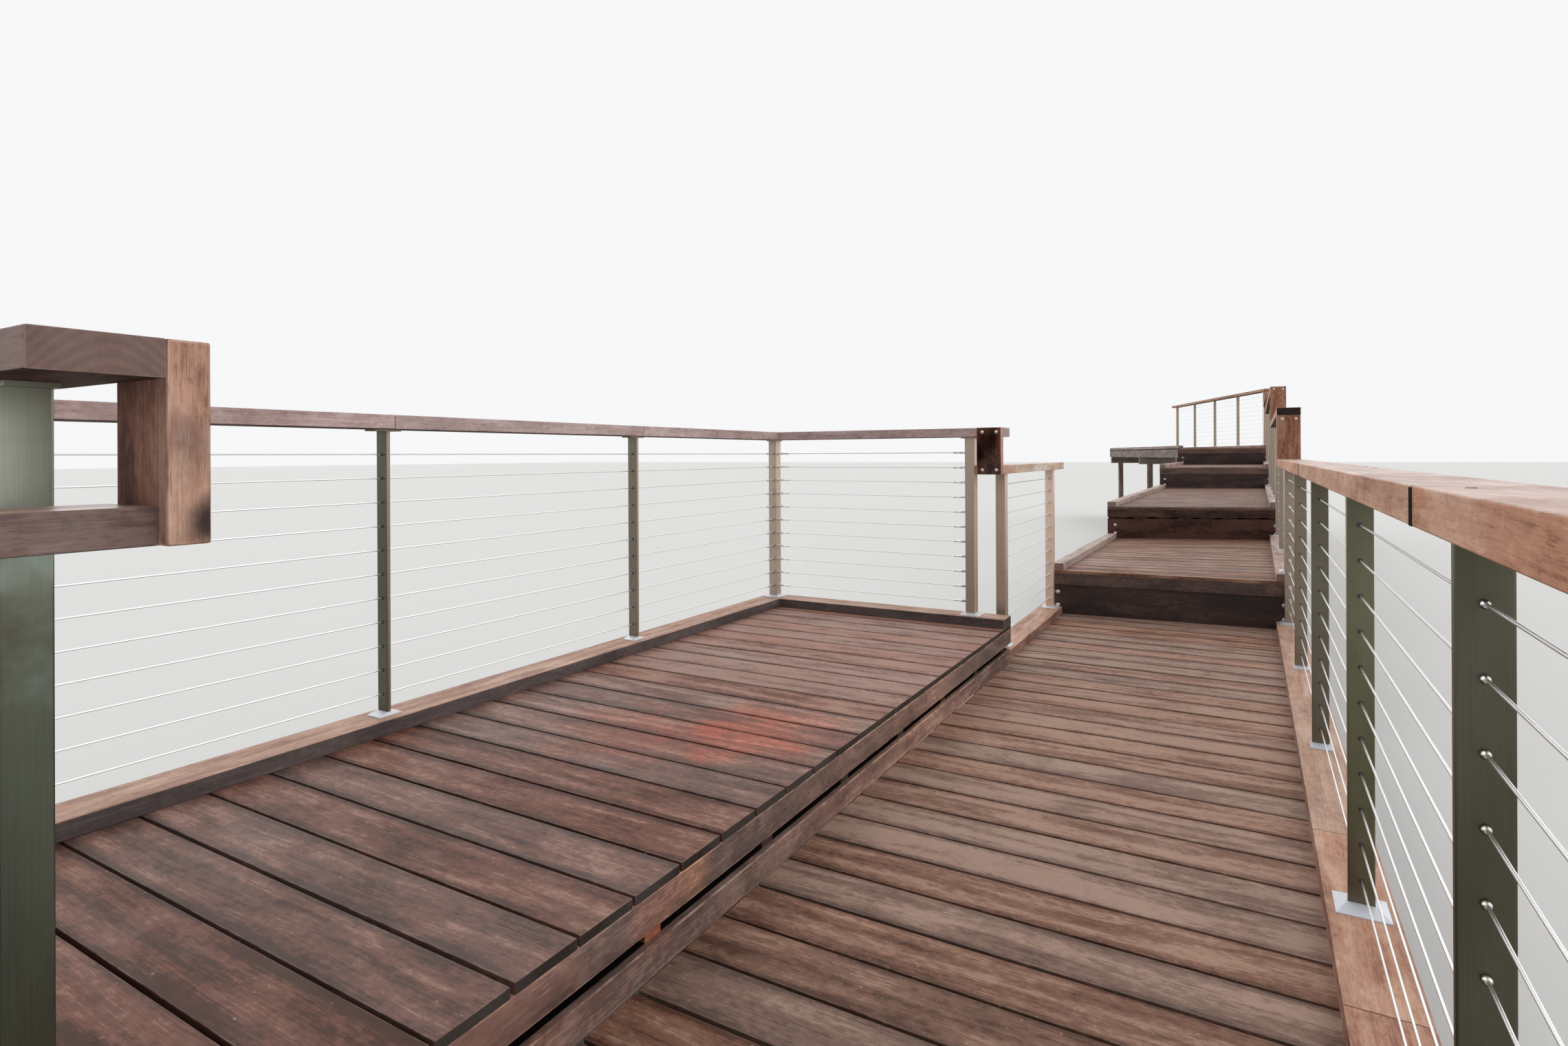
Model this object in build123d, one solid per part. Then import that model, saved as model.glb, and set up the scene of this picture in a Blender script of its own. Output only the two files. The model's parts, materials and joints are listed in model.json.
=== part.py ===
from build123d import *
import math
import os

# Wooden deck stairs: a railed walkway with a raised platform beside it, four
# broad steps up, and the start of the upper boardwalk that turns to the left.
# Millimetres, +Z up. The walkway and the steps climb along +Y. The origin is on
# the ground, under the first riser, on the walkway's centre line.

# Timber sections
BOARD_THICK = 20.0
JOIST_WIDE = 45.0
JOIST_DEEP = 140.0
BEARER_WIDE = 90.0
BEARER_DEEP = 140.0
STUMP_WIDE = 90.0
RISER_THICK = 45.0
RISER_TALL = 190.0
FASCIA_THICK = 37.0
FASCIA_PROUD = 8.0
KERB_WIDE = 134.0
KERB_TALL = 45.0
KERB_ROUND = 3.0
SIDE_KERB_WIDE = 70.0
RAIL_WIDE = 120.0
RAIL_THICK = 44.0
RAIL_ROUND = 2.5
BUTT_GAP = 2.0
RAIL_GAP = 6.0

# Levels
DECK_TOP = 420.0
PLATFORM_RISE = 185.0
STEP_RISE = 282.0
RAIL_TOP = 1000.0
LEFT_RAIL_TOP = 982.0
STEP_RAIL_TOPS = (1020.0, 1050.0, 1020.0)

# Walkway plan
RAIL_LINE = 662.0
WALKWAY_START = -5690.0
KERB_JOINTS = (-3777.0, -2990.0)
RAIL_JOINTS = (-4450.0, -2262.0)
WALKWAY_POSTS = (-5600.0, -4450.0, -3385.0, -2262.0, -1110.0, 0.0)
NEAR_LEFT_POSTS = (-5600.0, -5300.0)
FAR_LEFT_POSTS = (-1300.0, -112.0)
LEFT_RAIL_END = 40.0
INNER_JOIST = 186.0
JOISTS_ACROSS = 4

# Platform plan
PLATFORM_FRONT = -580.0
PLATFORM_BACK_LINE = -1905.0
PLATFORM_NEAR_LINE = -5160.0
PLATFORM_FAR_LINE = -1515.0
BACK_POSTS = (-3946.0, -2751.0)
NEAR_END_POST = -792.0
FAR_END_POST = -758.0
FRONT_BOARD_THICK = 46.0
LOWER_BOARD_TALL = 64.0
PLATFORM_FASCIA_TALL = 72.0
PACKER_WIDE = 50.0
PACKER_SET_BACK = 16.0
PACKER_PITCH = 450.0
PACKER_FIRST = -5148.0
PLATFORM_JOISTS = 5
PLATFORM_ROWS = 4

# Steps plan, in the flight's own frame: where each riser crosses the centre
# line, and how far it is turned. The flight itself is turned a little at its foot.
STEPS_LEFT = -657.0
FLIGHT_TURN = -0.5
FIRST_RISER_TURN = 5.6
STEPS_TURN = 21.0
RISER_PLACES = (0.0, 2461.0, 7015.0, 10200.0)
STEP_POST_INSET = 110.0
STEP_POST_BAYS = (2, 4, 3)
MIDDLE_ROW = (False, True, False)
UNDER_RAIL = (True, False, False, True)
RISER_SHORT = (0.0, 14.0, 0.0, 0.0)
STEP_PACKER_WIDE = 110.0
STEP_PACKER_PITCH = 172.0
STEP_PACKER_INSET = 4.0
ROW_INSET = 150.0

# Upper boardwalk, square to the last riser
UPPER_LONG = 5000.0
UPPER_POST_START = 115.0
UPPER_POST_PITCH = 1171.0
UPPER_POSTS = 5

# Posts, cover plates and wires
POST_WIDE = 50.0
FLAT_POST_THICK = 12.0
POST_CAP_LONG = 90.0
POST_CAP_THICK = 6.0
PLATE = (100.0, 100.0)
SMALL_PLATE = (62.0, 76.0)
SMALL_PLATES_FROM = -3000.0
PLATE_TALL = 12.0
PLATE_RIM = 3.0
PLATE_FLAT = 2.0
PLATE_CLEARANCE = 0.3
WIRE_RADIUS = 2.0
WIRE_HOLE_CLEARANCE = 0.4
WIRE_COUNT = 11
WIRE_FIRST = 107.0
WIRE_PITCH = 77.2
PLATFORM_WIRE_FIRST = 110.0
PLATFORM_WIRE_PITCH = 75.0
FITTING_RADIUS = 4.2
FITTING_LONG = 62.0
FITTING_TAPER = 10.0

# Stumps
STUMP_PLACE = 500.0
PLATFORM_STUMP_INSET = 220.0

# Worked out from the sizes above
KERB_HALF = KERB_WIDE / 2
RAIL_HALF = RAIL_WIDE / 2
DECK_EDGE = RAIL_LINE + KERB_HALF
PLATFORM_TOP = DECK_TOP + PLATFORM_RISE
PLATFORM_BACK = PLATFORM_BACK_LINE - KERB_HALF
PLATFORM_NEAR = PLATFORM_NEAR_LINE - KERB_HALF
PLATFORM_FAR = PLATFORM_FAR_LINE + KERB_HALF
FRONT_JOIST = PLATFORM_FRONT - FRONT_BOARD_THICK
FASCIA_TALL = STEP_RISE - RISER_TALL - BOARD_THICK
FIRST_SLOPE = math.tan(math.radians(FIRST_RISER_TURN))
STEPS_SLOPE = math.tan(math.radians(STEPS_TURN))
RISER_SLOPES = (FIRST_SLOPE, STEPS_SLOPE, STEPS_SLOPE, STEPS_SLOPE)
STEP_TOPS = [DECK_TOP + STEP_RISE * (k + 1) for k in range(len(RISER_PLACES))]
UPPER_LEFT = STEPS_LEFT / math.cos(math.radians(STEPS_TURN))
UPPER_RIGHT = DECK_EDGE / math.cos(math.radians(STEPS_TURN))
WALK_END_SLOPE = math.tan(math.radians(FIRST_RISER_TURN + FLIGHT_TURN))
FLIGHT_PLACE = Rot(0, 0, FLIGHT_TURN)
UPPER_PLACE = FLIGHT_PLACE * Pos(0, RISER_PLACES[3], 0) * Rot(0, 0, STEPS_TURN)

nodes = {}


def block(x0, x1, y0, y1, z0, z1):
    """A box between two corners."""
    return Pos(x0, y0, z0) * Box(x1 - x0, y1 - y0, z1 - z0, align=(Align.MIN, Align.MIN, Align.MIN))


def prism(points, z0, z1):
    """An upright solid on a plan outline."""
    outline = make_face(Polyline(*[(x, y) for x, y in points], close=True))
    return Pos(0, 0, z0) * extrude(outline, amount=z1 - z0)


def walk_end_y(x, offset=0.0):
    """Where the first riser's face crosses the walkway at x, in the walkway's frame."""
    return WALK_END_SLOPE * x + offset * math.hypot(1, WALK_END_SLOPE)


def in_flight(solids):
    """Solids made in the flight's frame, set in their place."""
    return [FLIGHT_PLACE * solid for solid in solids]


def riser_y(step, x, offset=0.0):
    """Where a riser's face is at x in the flight; a positive offset is behind the face."""
    slope = RISER_SLOPES[step]
    return RISER_PLACES[step] + slope * x + offset * math.hypot(1, slope)


def between_risers(step, x0, x1, front, back, z0, z1):
    """A plan strip from one riser to the next, with its ends cut to both."""
    return prism(
        [
            (x0, riser_y(step, x0, front)),
            (x1, riser_y(step, x1, front)),
            (x1, riser_y(step + 1, x1, back)),
            (x0, riser_y(step + 1, x0, back)),
        ],
        z0,
        z1,
    )


def along_riser(step, x0, x1, front, back, z0, z1):
    """A board laid along one riser."""
    return prism(
        [
            (x0, riser_y(step, x0, front)),
            (x1, riser_y(step, x1, front)),
            (x1, riser_y(step, x1, back)),
            (x0, riser_y(step, x0, back)),
        ],
        z0,
        z1,
    )


def rounded(solid, axis, radius):
    """A timber with its long edges rounded."""
    return fillet(solid.edges().filter_by(axis), radius)


def rail_along_y(x, y0, y1, top):
    """A handrail length along Y on the line x."""
    rail = block(x - RAIL_HALF, x + RAIL_HALF, y0, y1, top - RAIL_THICK, top)
    return rounded(rail, Axis.Y, RAIL_ROUND)


def rail_along_x(y, x0, x1, top):
    """A handrail length along X on the line y."""
    rail = block(x0, x1, y - RAIL_HALF, y + RAIL_HALF, top - RAIL_THICK, top)
    return rounded(rail, Axis.X, RAIL_ROUND)


def kerb_along_y(x, wide, y0, y1, deck):
    """A kerb length along Y, centred on the line x."""
    kerb = block(x - wide / 2, x + wide / 2, y0, y1, deck, deck + KERB_TALL)
    return rounded(kerb, Axis.Y, KERB_ROUND)


def kerb_along_x(y, x0, x1, deck):
    """A kerb length along X, centred on the line y."""
    kerb = block(x0, x1, y - KERB_HALF, y + KERB_HALF, deck, deck + KERB_TALL)
    return rounded(kerb, Axis.X, KERB_ROUND)


def with_joints(start, joints, end, gap):
    """The stretches between butt joints, with a narrow gap at each joint."""
    cuts = [start]
    for joint in joints:
        cuts += [joint - gap / 2, joint + gap / 2]
    cuts.append(end)
    return list(zip(cuts[0::2], cuts[1::2]))


def wire_heights(deck):
    """Heights of the wires over a deck; the platform's stand a little closer."""
    first, pitch = WIRE_FIRST, WIRE_PITCH
    if deck == PLATFORM_TOP:
        first, pitch = PLATFORM_WIRE_FIRST, PLATFORM_WIRE_PITCH
    return [deck + first + pitch * i for i in range(WIRE_COUNT)]


def post(x, y, deck, flat=False, turn=0.0, rail_top=RAIL_TOP):
    """A post on its kerb, with a cap plate that carries the handrail.

    End posts are square. The posts between them are flat bars, drilled for the wires.
    """
    foot = deck + KERB_TALL
    top = deck + rail_top - RAIL_THICK
    half = POST_WIDE / 2
    deep = FLAT_POST_THICK if flat else POST_WIDE
    bar = block(-half, half, -deep / 2, deep / 2, foot, top - POST_CAP_THICK)
    cap = block(-half, half, -POST_CAP_LONG / 2, POST_CAP_LONG / 2, top - POST_CAP_THICK, top)
    body = bar + cap
    if flat:
        drill = Cylinder(WIRE_RADIUS + WIRE_HOLE_CLEARANCE, POST_CAP_LONG)
        body = body - [Pos(0, 0, z) * Rot(90, 0, 0) * drill for z in wire_heights(deck)]
    return Pos(x, y, 0) * Rot(0, 0, turn) * body


def cover_plate(x, y, deck, flat=False, size=PLATE):
    """The cover plate round a post's foot: a thin rim, sloping up to the post."""
    foot = (Align.CENTER, Align.CENTER, Align.MIN)
    wide = POST_WIDE + 2 * PLATE_CLEARANCE
    deep = (FLAT_POST_THICK if flat else POST_WIDE) + 2 * PLATE_CLEARANCE
    low = Pos(0, 0, PLATE_RIM) * Rectangle(*size)
    high = Pos(0, 0, PLATE_TALL) * Rectangle(wide + 2 * PLATE_FLAT, deep + 2 * PLATE_FLAT)
    plate = Box(*size, PLATE_RIM, align=foot) + loft([low, high], ruled=True)
    plate = plate - Box(wide, deep, PLATE_TALL, align=foot)
    return Pos(x, y, deck + KERB_TALL) * plate


def wire(length):
    """One taut wire with its two swaged fittings, along Z from the origin."""
    half = [
        (0, 0),
        (FITTING_RADIUS, 0),
        (FITTING_RADIUS, FITTING_LONG),
        (WIRE_RADIUS, FITTING_LONG + FITTING_TAPER),
    ]
    other = [(r, length - z) for r, z in reversed(half)]
    profile = make_face(Polyline(*[(r, 0, z) for r, z in half + other], close=True))
    return revolve(profile, Axis.Z)


def wires_along_y(x, y0, y1, deck):
    """The wires of a run along Y, between the faces of its two end posts."""
    strand = Rot(-90, 0, 0) * wire(y1 - y0 - POST_WIDE)
    return [Pos(x, y0 + POST_WIDE / 2, z) * strand for z in wire_heights(deck)]


def wires_along_x(y, x0, x1, deck):
    """The wires of a run along X, between the faces of its two end posts."""
    strand = Rot(0, 90, 0) * wire(x1 - x0 - POST_WIDE)
    return [Pos(x0 + POST_WIDE / 2, y, z) * strand for z in wire_heights(deck)]


def frame_levels(deck):
    """Heights of the joists' underside and top, and of the bearers' underside."""
    joist_top = deck - BOARD_THICK
    return joist_top - JOIST_DEEP, joist_top, joist_top - JOIST_DEEP - BEARER_DEEP


def stump(x, y, top, turn=0.0):
    """A square timber stump on the ground."""
    leg = Box(STUMP_WIDE, STUMP_WIDE, top, align=(Align.CENTER, Align.CENTER, Align.MIN))
    return Pos(x, y, 0) * Rot(0, 0, turn) * leg


def build_walkway():
    """The walkway's deck, frame, kerbs and rails."""
    joist_low, joist_top, bearer_low = frame_levels(DECK_TOP)
    near, far = PLATFORM_NEAR, PLATFORM_FAR
    outline = [
        (-DECK_EDGE, WALKWAY_START),
        (DECK_EDGE, WALKWAY_START),
        (DECK_EDGE, walk_end_y(DECK_EDGE)),
        (-DECK_EDGE, walk_end_y(-DECK_EDGE)),
        (-DECK_EDGE, far),
        (PLATFORM_FRONT, far),
        (PLATFORM_FRONT, near),
        (-DECK_EDGE, near),
    ]
    nodes["walkway_decking"] = [prism(outline, joist_top, DECK_TOP)]

    rim = WALKWAY_START + JOIST_WIDE
    joists = []
    for x in (PLATFORM_FRONT + JOIST_WIDE / 2, -INNER_JOIST, INNER_JOIST, -PLATFORM_FRONT - JOIST_WIDE / 2):
        x0, x1 = x - JOIST_WIDE / 2, x + JOIST_WIDE / 2
        outline = [(x0, rim), (x1, rim), (x1, walk_end_y(x1, RISER_THICK)), (x0, walk_end_y(x0, RISER_THICK))]
        joists.append(prism(outline, joist_low, joist_top))

    inner = DECK_EDGE - JOIST_WIDE
    right = [
        (inner, rim),
        (DECK_EDGE, rim),
        (DECK_EDGE, walk_end_y(DECK_EDGE, RISER_THICK)),
        (inner, walk_end_y(inner, RISER_THICK)),
    ]
    left = [
        (-DECK_EDGE, far),
        (-inner, far),
        (-inner, walk_end_y(-inner)),
        (-DECK_EDGE, walk_end_y(-DECK_EDGE)),
    ]
    joists.append(prism(right, joist_low, joist_top))
    joists.append(prism(left, joist_low, joist_top))
    joists.append(block(-DECK_EDGE, -inner, rim, near, joist_low, joist_top))
    nodes["walkway_joists"] = joists
    nodes["end_boards"] = [block(-DECK_EDGE, DECK_EDGE, WALKWAY_START, rim, joist_low, joist_top)]

    kerbs = [
        kerb_along_y(RAIL_LINE, KERB_WIDE, y0, y1, DECK_TOP)
        for y0, y1 in with_joints(WALKWAY_START, KERB_JOINTS, walk_end_y(RAIL_LINE - KERB_HALF), BUTT_GAP)
    ]
    kerbs.append(kerb_along_y(-RAIL_LINE, KERB_WIDE, WALKWAY_START, near, DECK_TOP))
    kerbs.append(kerb_along_y(-RAIL_LINE, KERB_WIDE, far, walk_end_y(-RAIL_LINE - KERB_HALF), DECK_TOP))
    nodes["walkway_kerbs"] = kerbs

    top = DECK_TOP + RAIL_TOP
    rails = [
        rail_along_y(RAIL_LINE, y0, y1, top)
        for y0, y1 in with_joints(WALKWAY_START, RAIL_JOINTS, first_board_face(), RAIL_GAP)
    ]
    left_top = DECK_TOP + LEFT_RAIL_TOP
    rails.append(rail_along_y(-RAIL_LINE, WALKWAY_START, PLATFORM_NEAR_LINE + RAIL_HALF, left_top))
    rails.append(rail_along_y(-RAIL_LINE, PLATFORM_FAR_LINE - RAIL_HALF, LEFT_RAIL_END, left_top))
    nodes["walkway_handrails"] = rails

    ends = (WALKWAY_POSTS[0], WALKWAY_POSTS[-1])
    posts, plates = [], []
    for y in WALKWAY_POSTS:
        flat = y not in ends
        size = SMALL_PLATE if flat and y > SMALL_PLATES_FROM else PLATE
        posts.append(post(RAIL_LINE, y, DECK_TOP, flat))
        plates.append(cover_plate(RAIL_LINE, y, DECK_TOP, flat, size))
    for y in NEAR_LEFT_POSTS + FAR_LEFT_POSTS:
        posts.append(post(-RAIL_LINE, y, DECK_TOP, rail_top=LEFT_RAIL_TOP))
        plates.append(cover_plate(-RAIL_LINE, y, DECK_TOP))
    nodes["walkway_posts"] = posts
    nodes["cover_plates"] = plates
    nodes["walkway_right_wires"] = wires_along_y(RAIL_LINE, *ends, DECK_TOP)
    nodes["near_left_wires"] = wires_along_y(-RAIL_LINE, *NEAR_LEFT_POSTS, DECK_TOP)
    nodes["far_left_wires"] = wires_along_y(-RAIL_LINE, *FAR_LEFT_POSTS, DECK_TOP)

    bearers = []
    stumps = []
    for y in (rim + BEARER_WIDE / 2,) + WALKWAY_POSTS[1:]:
        y0, y1 = y - BEARER_WIDE / 2, y + BEARER_WIDE / 2
        bearers.append(block(-DECK_EDGE, DECK_EDGE, y0, y1, bearer_low, joist_low))
        places = (-STUMP_PLACE, 0.0, STUMP_PLACE) if y == WALKWAY_POSTS[-1] else (-STUMP_PLACE, STUMP_PLACE)
        stumps += [stump(x, y, bearer_low) for x in places]
    return bearers, stumps


def build_platform():
    """The raised platform beside the walkway."""
    joist_low, joist_top, bearer_low = frame_levels(PLATFORM_TOP)
    near, far, back = PLATFORM_NEAR, PLATFORM_FAR, PLATFORM_BACK
    front = PLATFORM_FRONT
    nodes["platform_decking"] = [block(back, front, near, far, joist_top, PLATFORM_TOP)]

    fascia_low = joist_top - PLATFORM_FASCIA_TALL
    nodes["platform_fascia"] = [block(FRONT_JOIST, front, near, far, fascia_low, joist_top)]
    board_top = DECK_TOP + LOWER_BOARD_TALL
    nodes["platform_lower_board"] = [block(FRONT_JOIST, front, near, far, DECK_TOP, board_top)]
    packer_front = front - PACKER_SET_BACK
    count = int((far - PACKER_FIRST) // PACKER_PITCH) + 1
    packers = []
    for i in range(count):
        y = PACKER_FIRST + i * PACKER_PITCH
        packers.append(block(FRONT_JOIST, packer_front, y - PACKER_WIDE / 2, y + PACKER_WIDE / 2, board_top, fascia_low))
    nodes["platform_packers"] = packers

    rim = JOIST_WIDE
    nodes["platform_edge_boards"] = [
        block(back, FRONT_JOIST, near, near + rim, joist_low, joist_top),
        block(back, FRONT_JOIST, far - rim, far, joist_low, joist_top),
    ]
    spacing = (FRONT_JOIST - rim - back) / (PLATFORM_JOISTS - 1)
    joists = []
    for i in range(PLATFORM_JOISTS):
        x = back + i * spacing
        joists.append(block(x, x + rim, near + rim, far - rim, joist_low, joist_top))
    nodes["platform_joists"] = joists

    bearers = []
    stumps = []
    row_first = near + PLATFORM_STUMP_INSET
    row_step = (far - near - 2 * PLATFORM_STUMP_INSET) / (PLATFORM_ROWS - 1)
    for i in range(PLATFORM_ROWS):
        y = row_first + i * row_step
        bearers.append(block(back, FRONT_JOIST, y - BEARER_WIDE / 2, y + BEARER_WIDE / 2, bearer_low, joist_low))
        for x in (back + PLATFORM_STUMP_INSET, FRONT_JOIST - PLATFORM_STUMP_INSET):
            stumps.append(stump(x, y, bearer_low))

    back_line = PLATFORM_BACK_LINE
    near_line, far_line = PLATFORM_NEAR_LINE, PLATFORM_FAR_LINE
    nodes["platform_end_kerbs"] = [
        kerb_along_x(y, back, front, PLATFORM_TOP) for y in (near_line, far_line)
    ]
    nodes["platform_back_kerb"] = [
        kerb_along_y(back_line, KERB_WIDE, near_line + KERB_HALF, far_line - KERB_HALF, PLATFORM_TOP)
    ]
    top = PLATFORM_TOP + LEFT_RAIL_TOP
    nodes["platform_back_handrail"] = [
        rail_along_y(back_line, y0, y1, top)
        for y0, y1 in with_joints(near_line + RAIL_HALF, BACK_POSTS, far_line - RAIL_HALF, BUTT_GAP)
    ]
    nodes["platform_end_handrails"] = [
        rail_along_x(y, back_line - RAIL_HALF, front, top) for y in (near_line, far_line)
    ]

    places = [(back_line, near_line), (back_line, far_line), (NEAR_END_POST, near_line), (FAR_END_POST, far_line)]
    posts = [post(back_line, y, PLATFORM_TOP, flat=True, rail_top=LEFT_RAIL_TOP) for y in BACK_POSTS]
    for x, y in places:
        posts.append(post(x, y, PLATFORM_TOP, turn=0.0 if x == back_line else 90.0, rail_top=LEFT_RAIL_TOP))
    nodes["platform_posts"] = posts
    plates = [cover_plate(x, y, PLATFORM_TOP) for x, y in places]
    plates += [cover_plate(back_line, y, PLATFORM_TOP, flat=True, size=SMALL_PLATE) for y in BACK_POSTS]
    nodes["cover_plates"] += plates
    nodes["platform_back_wires"] = wires_along_y(back_line, near_line, far_line, PLATFORM_TOP)
    nodes["platform_near_wires"] = wires_along_x(near_line, back_line, NEAR_END_POST, PLATFORM_TOP)
    nodes["platform_far_wires"] = wires_along_x(far_line, back_line, FAR_END_POST, PLATFORM_TOP)
    return bearers, stumps


def first_board_face():
    """The near face of the first joining board, which is square to the walkway."""
    return walk_end_y(RAIL_LINE) - FASCIA_PROUD


def rail_board_face(step):
    """The near face of the board that joins two handrail levels at a riser of the flight."""
    return riser_y(step, RAIL_LINE) - FASCIA_PROUD


def step_rail(step):
    """The handrail of one tread: it starts over its joining board, or behind it."""
    start = rail_board_face(step)
    if not UNDER_RAIL[step]:
        start += RAIL_THICK
    return rail_along_y(RAIL_LINE, start, rail_board_face(step + 1), STEP_TOPS[step] + STEP_RAIL_TOPS[step])


def step_post_places(step):
    """Where the posts stand along one tread's right side."""
    first = riser_y(step, RAIL_LINE) + STEP_POST_INSET
    last = riser_y(step + 1, RAIL_LINE) - STEP_POST_INSET
    bays = STEP_POST_BAYS[step]
    return [first + (last - first) * i / bays for i in range(bays + 1)]


def step_packers(step, low, high):
    """The packers between a riser's lower board and its fascia."""
    count = int((DECK_EDGE - STEPS_LEFT) // STEP_PACKER_PITCH)
    first = (STEPS_LEFT + DECK_EDGE - (count - 1) * STEP_PACKER_PITCH) / 2
    packers = []
    for i in range(count):
        x0 = first + i * STEP_PACKER_PITCH - STEP_PACKER_WIDE / 2
        x1 = x0 + STEP_PACKER_WIDE
        packers.append(along_riser(step, x0, x1, STEP_PACKER_INSET, RISER_THICK, low, high))
    return packers


def build_steps():
    """The three broad treads, their risers, kerbs, rails and frames, in the flight's frame."""
    names = ("first", "second", "third")
    risers, packers, fascias, kerbs, joists = [], [], [], [], []
    rails, posts, plates, bearers, stumps = [], [], [], [], []
    for step, top in enumerate(STEP_TOPS):
        low = top - STEP_RISE
        fascia_low = low + RISER_TALL
        riser_top = fascia_low - RISER_SHORT[step]
        risers.append(along_riser(step, STEPS_LEFT, DECK_EDGE, 0, RISER_THICK, low - BOARD_THICK, riser_top))
        if riser_top < fascia_low:
            packers += step_packers(step, riser_top, fascia_low)
        fascias.append(
            along_riser(
                step, STEPS_LEFT, DECK_EDGE, -FASCIA_PROUD, FASCIA_THICK - FASCIA_PROUD,
                fascia_low, fascia_low + FASCIA_TALL,
            )
        )
    for step, name in enumerate(names):
        deck = STEP_TOPS[step]
        joist_low, joist_top, bearer_low = frame_levels(deck)
        nodes[name + "_tread"] = in_flight(
            [between_risers(step, STEPS_LEFT, DECK_EDGE, -FASCIA_PROUD, 0, joist_top, deck)]
        )
        kerb_top = deck + KERB_TALL
        kerbs.append(
            between_risers(step, STEPS_LEFT, STEPS_LEFT + SIDE_KERB_WIDE, -FASCIA_PROUD, 0, deck, kerb_top)
        )
        kerbs.append(
            between_risers(step, DECK_EDGE - KERB_WIDE, DECK_EDGE, -FASCIA_PROUD, 0, deck, kerb_top)
        )
        spacing = (DECK_EDGE - STEPS_LEFT - JOIST_WIDE) / (JOISTS_ACROSS - 1)
        for i in range(JOISTS_ACROSS):
            x = STEPS_LEFT + spacing * i
            joists.append(
                between_risers(step, x, x + JOIST_WIDE, RISER_THICK, RISER_THICK, joist_low, joist_top)
            )
        rails.append(step_rail(step))
        places = step_post_places(step)
        for i, y in enumerate(places):
            flat = 0 < i < len(places) - 1
            posts.append(post(RAIL_LINE, y, deck, flat, rail_top=STEP_RAIL_TOPS[step]))
            plates.append(cover_plate(RAIL_LINE, y, deck, flat, SMALL_PLATE if flat else PLATE))
        nodes[name + "_step_wires"] = in_flight(wires_along_y(RAIL_LINE, places[0], places[-1], deck))

        rows = [(step, ROW_INSET), (step + 1, -ROW_INSET)]
        if MIDDLE_ROW[step]:
            rows.append((step, (RISER_PLACES[step + 1] - RISER_PLACES[step]) / 2))
        for row, offset in rows:
            half = BEARER_WIDE / 2
            bearers.append(
                along_riser(row, STEPS_LEFT, DECK_EDGE, offset - half, offset + half, bearer_low, joist_low)
            )
            turn = math.degrees(math.atan(RISER_SLOPES[row]))
            for x in (-STUMP_PLACE, STUMP_PLACE):
                stumps.append(stump(x, riser_y(row, x, offset), bearer_low, turn))
    nodes["step_risers"] = in_flight(risers)
    nodes["step_packers"] = in_flight(packers)
    nodes["step_fascias"] = in_flight(fascias)
    nodes["step_kerbs"] = in_flight(kerbs)
    nodes["step_joists"] = in_flight(joists)
    nodes["step_handrails"] = in_flight(rails)
    nodes["step_posts"] = in_flight(posts)
    nodes["cover_plates"] += in_flight(plates)
    return in_flight(bearers), in_flight(stumps)


def build_upper():
    """The start of the upper boardwalk, in its own turned frame."""
    deck = STEP_TOPS[3]
    joist_low, joist_top, bearer_low = frame_levels(deck)
    left, right, end = UPPER_LEFT, UPPER_RIGHT, UPPER_LONG
    rail_line = right - KERB_HALF

    def placed(solids):
        return [UPPER_PLACE * solid for solid in solids]

    nodes["upper_decking"] = placed([block(left, right, -FASCIA_PROUD, end, joist_top, deck)])
    spacing = (right - left - JOIST_WIDE) / (JOISTS_ACROSS - 1)
    rim = end - JOIST_WIDE
    joists = []
    for i in range(JOISTS_ACROSS):
        x = left + spacing * i
        joists.append(block(x, x + JOIST_WIDE, RISER_THICK, rim, joist_low, joist_top))
    nodes["upper_joists"] = placed(joists)
    nodes["end_boards"] += placed([block(left, right, rim, end, joist_low, joist_top)])
    nodes["upper_kerbs"] = placed(
        [
            kerb_along_y(rail_line, KERB_WIDE, -FASCIA_PROUD, end, deck),
            kerb_along_y(left + SIDE_KERB_WIDE / 2, SIDE_KERB_WIDE, -FASCIA_PROUD, end, deck),
        ]
    )
    nodes["upper_handrail"] = placed([rail_along_y(rail_line, -FASCIA_PROUD, end, deck + RAIL_TOP)])
    places = [UPPER_POST_START + UPPER_POST_PITCH * i for i in range(UPPER_POSTS)]
    posts, plates = [], []
    for i, y in enumerate(places):
        flat = 0 < i < len(places) - 1
        posts.append(post(rail_line, y, deck, flat))
        plates.append(cover_plate(rail_line, y, deck, flat, SMALL_PLATE if flat else PLATE))
    nodes["upper_posts"] = placed(posts)
    nodes["cover_plates"] += placed(plates)
    nodes["upper_wires"] = placed(wires_along_y(rail_line, places[0], places[-1], deck))
    bearers = []
    stumps = []
    half = BEARER_WIDE / 2
    for y in (ROW_INSET, end / 2, end - ROW_INSET):
        bearers.append(block(left, right, y - half, y + half, bearer_low, joist_low))
        stumps += [stump(x, y, bearer_low) for x in (-STUMP_PLACE, STUMP_PLACE)]
    return placed(bearers), placed(stumps)


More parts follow.
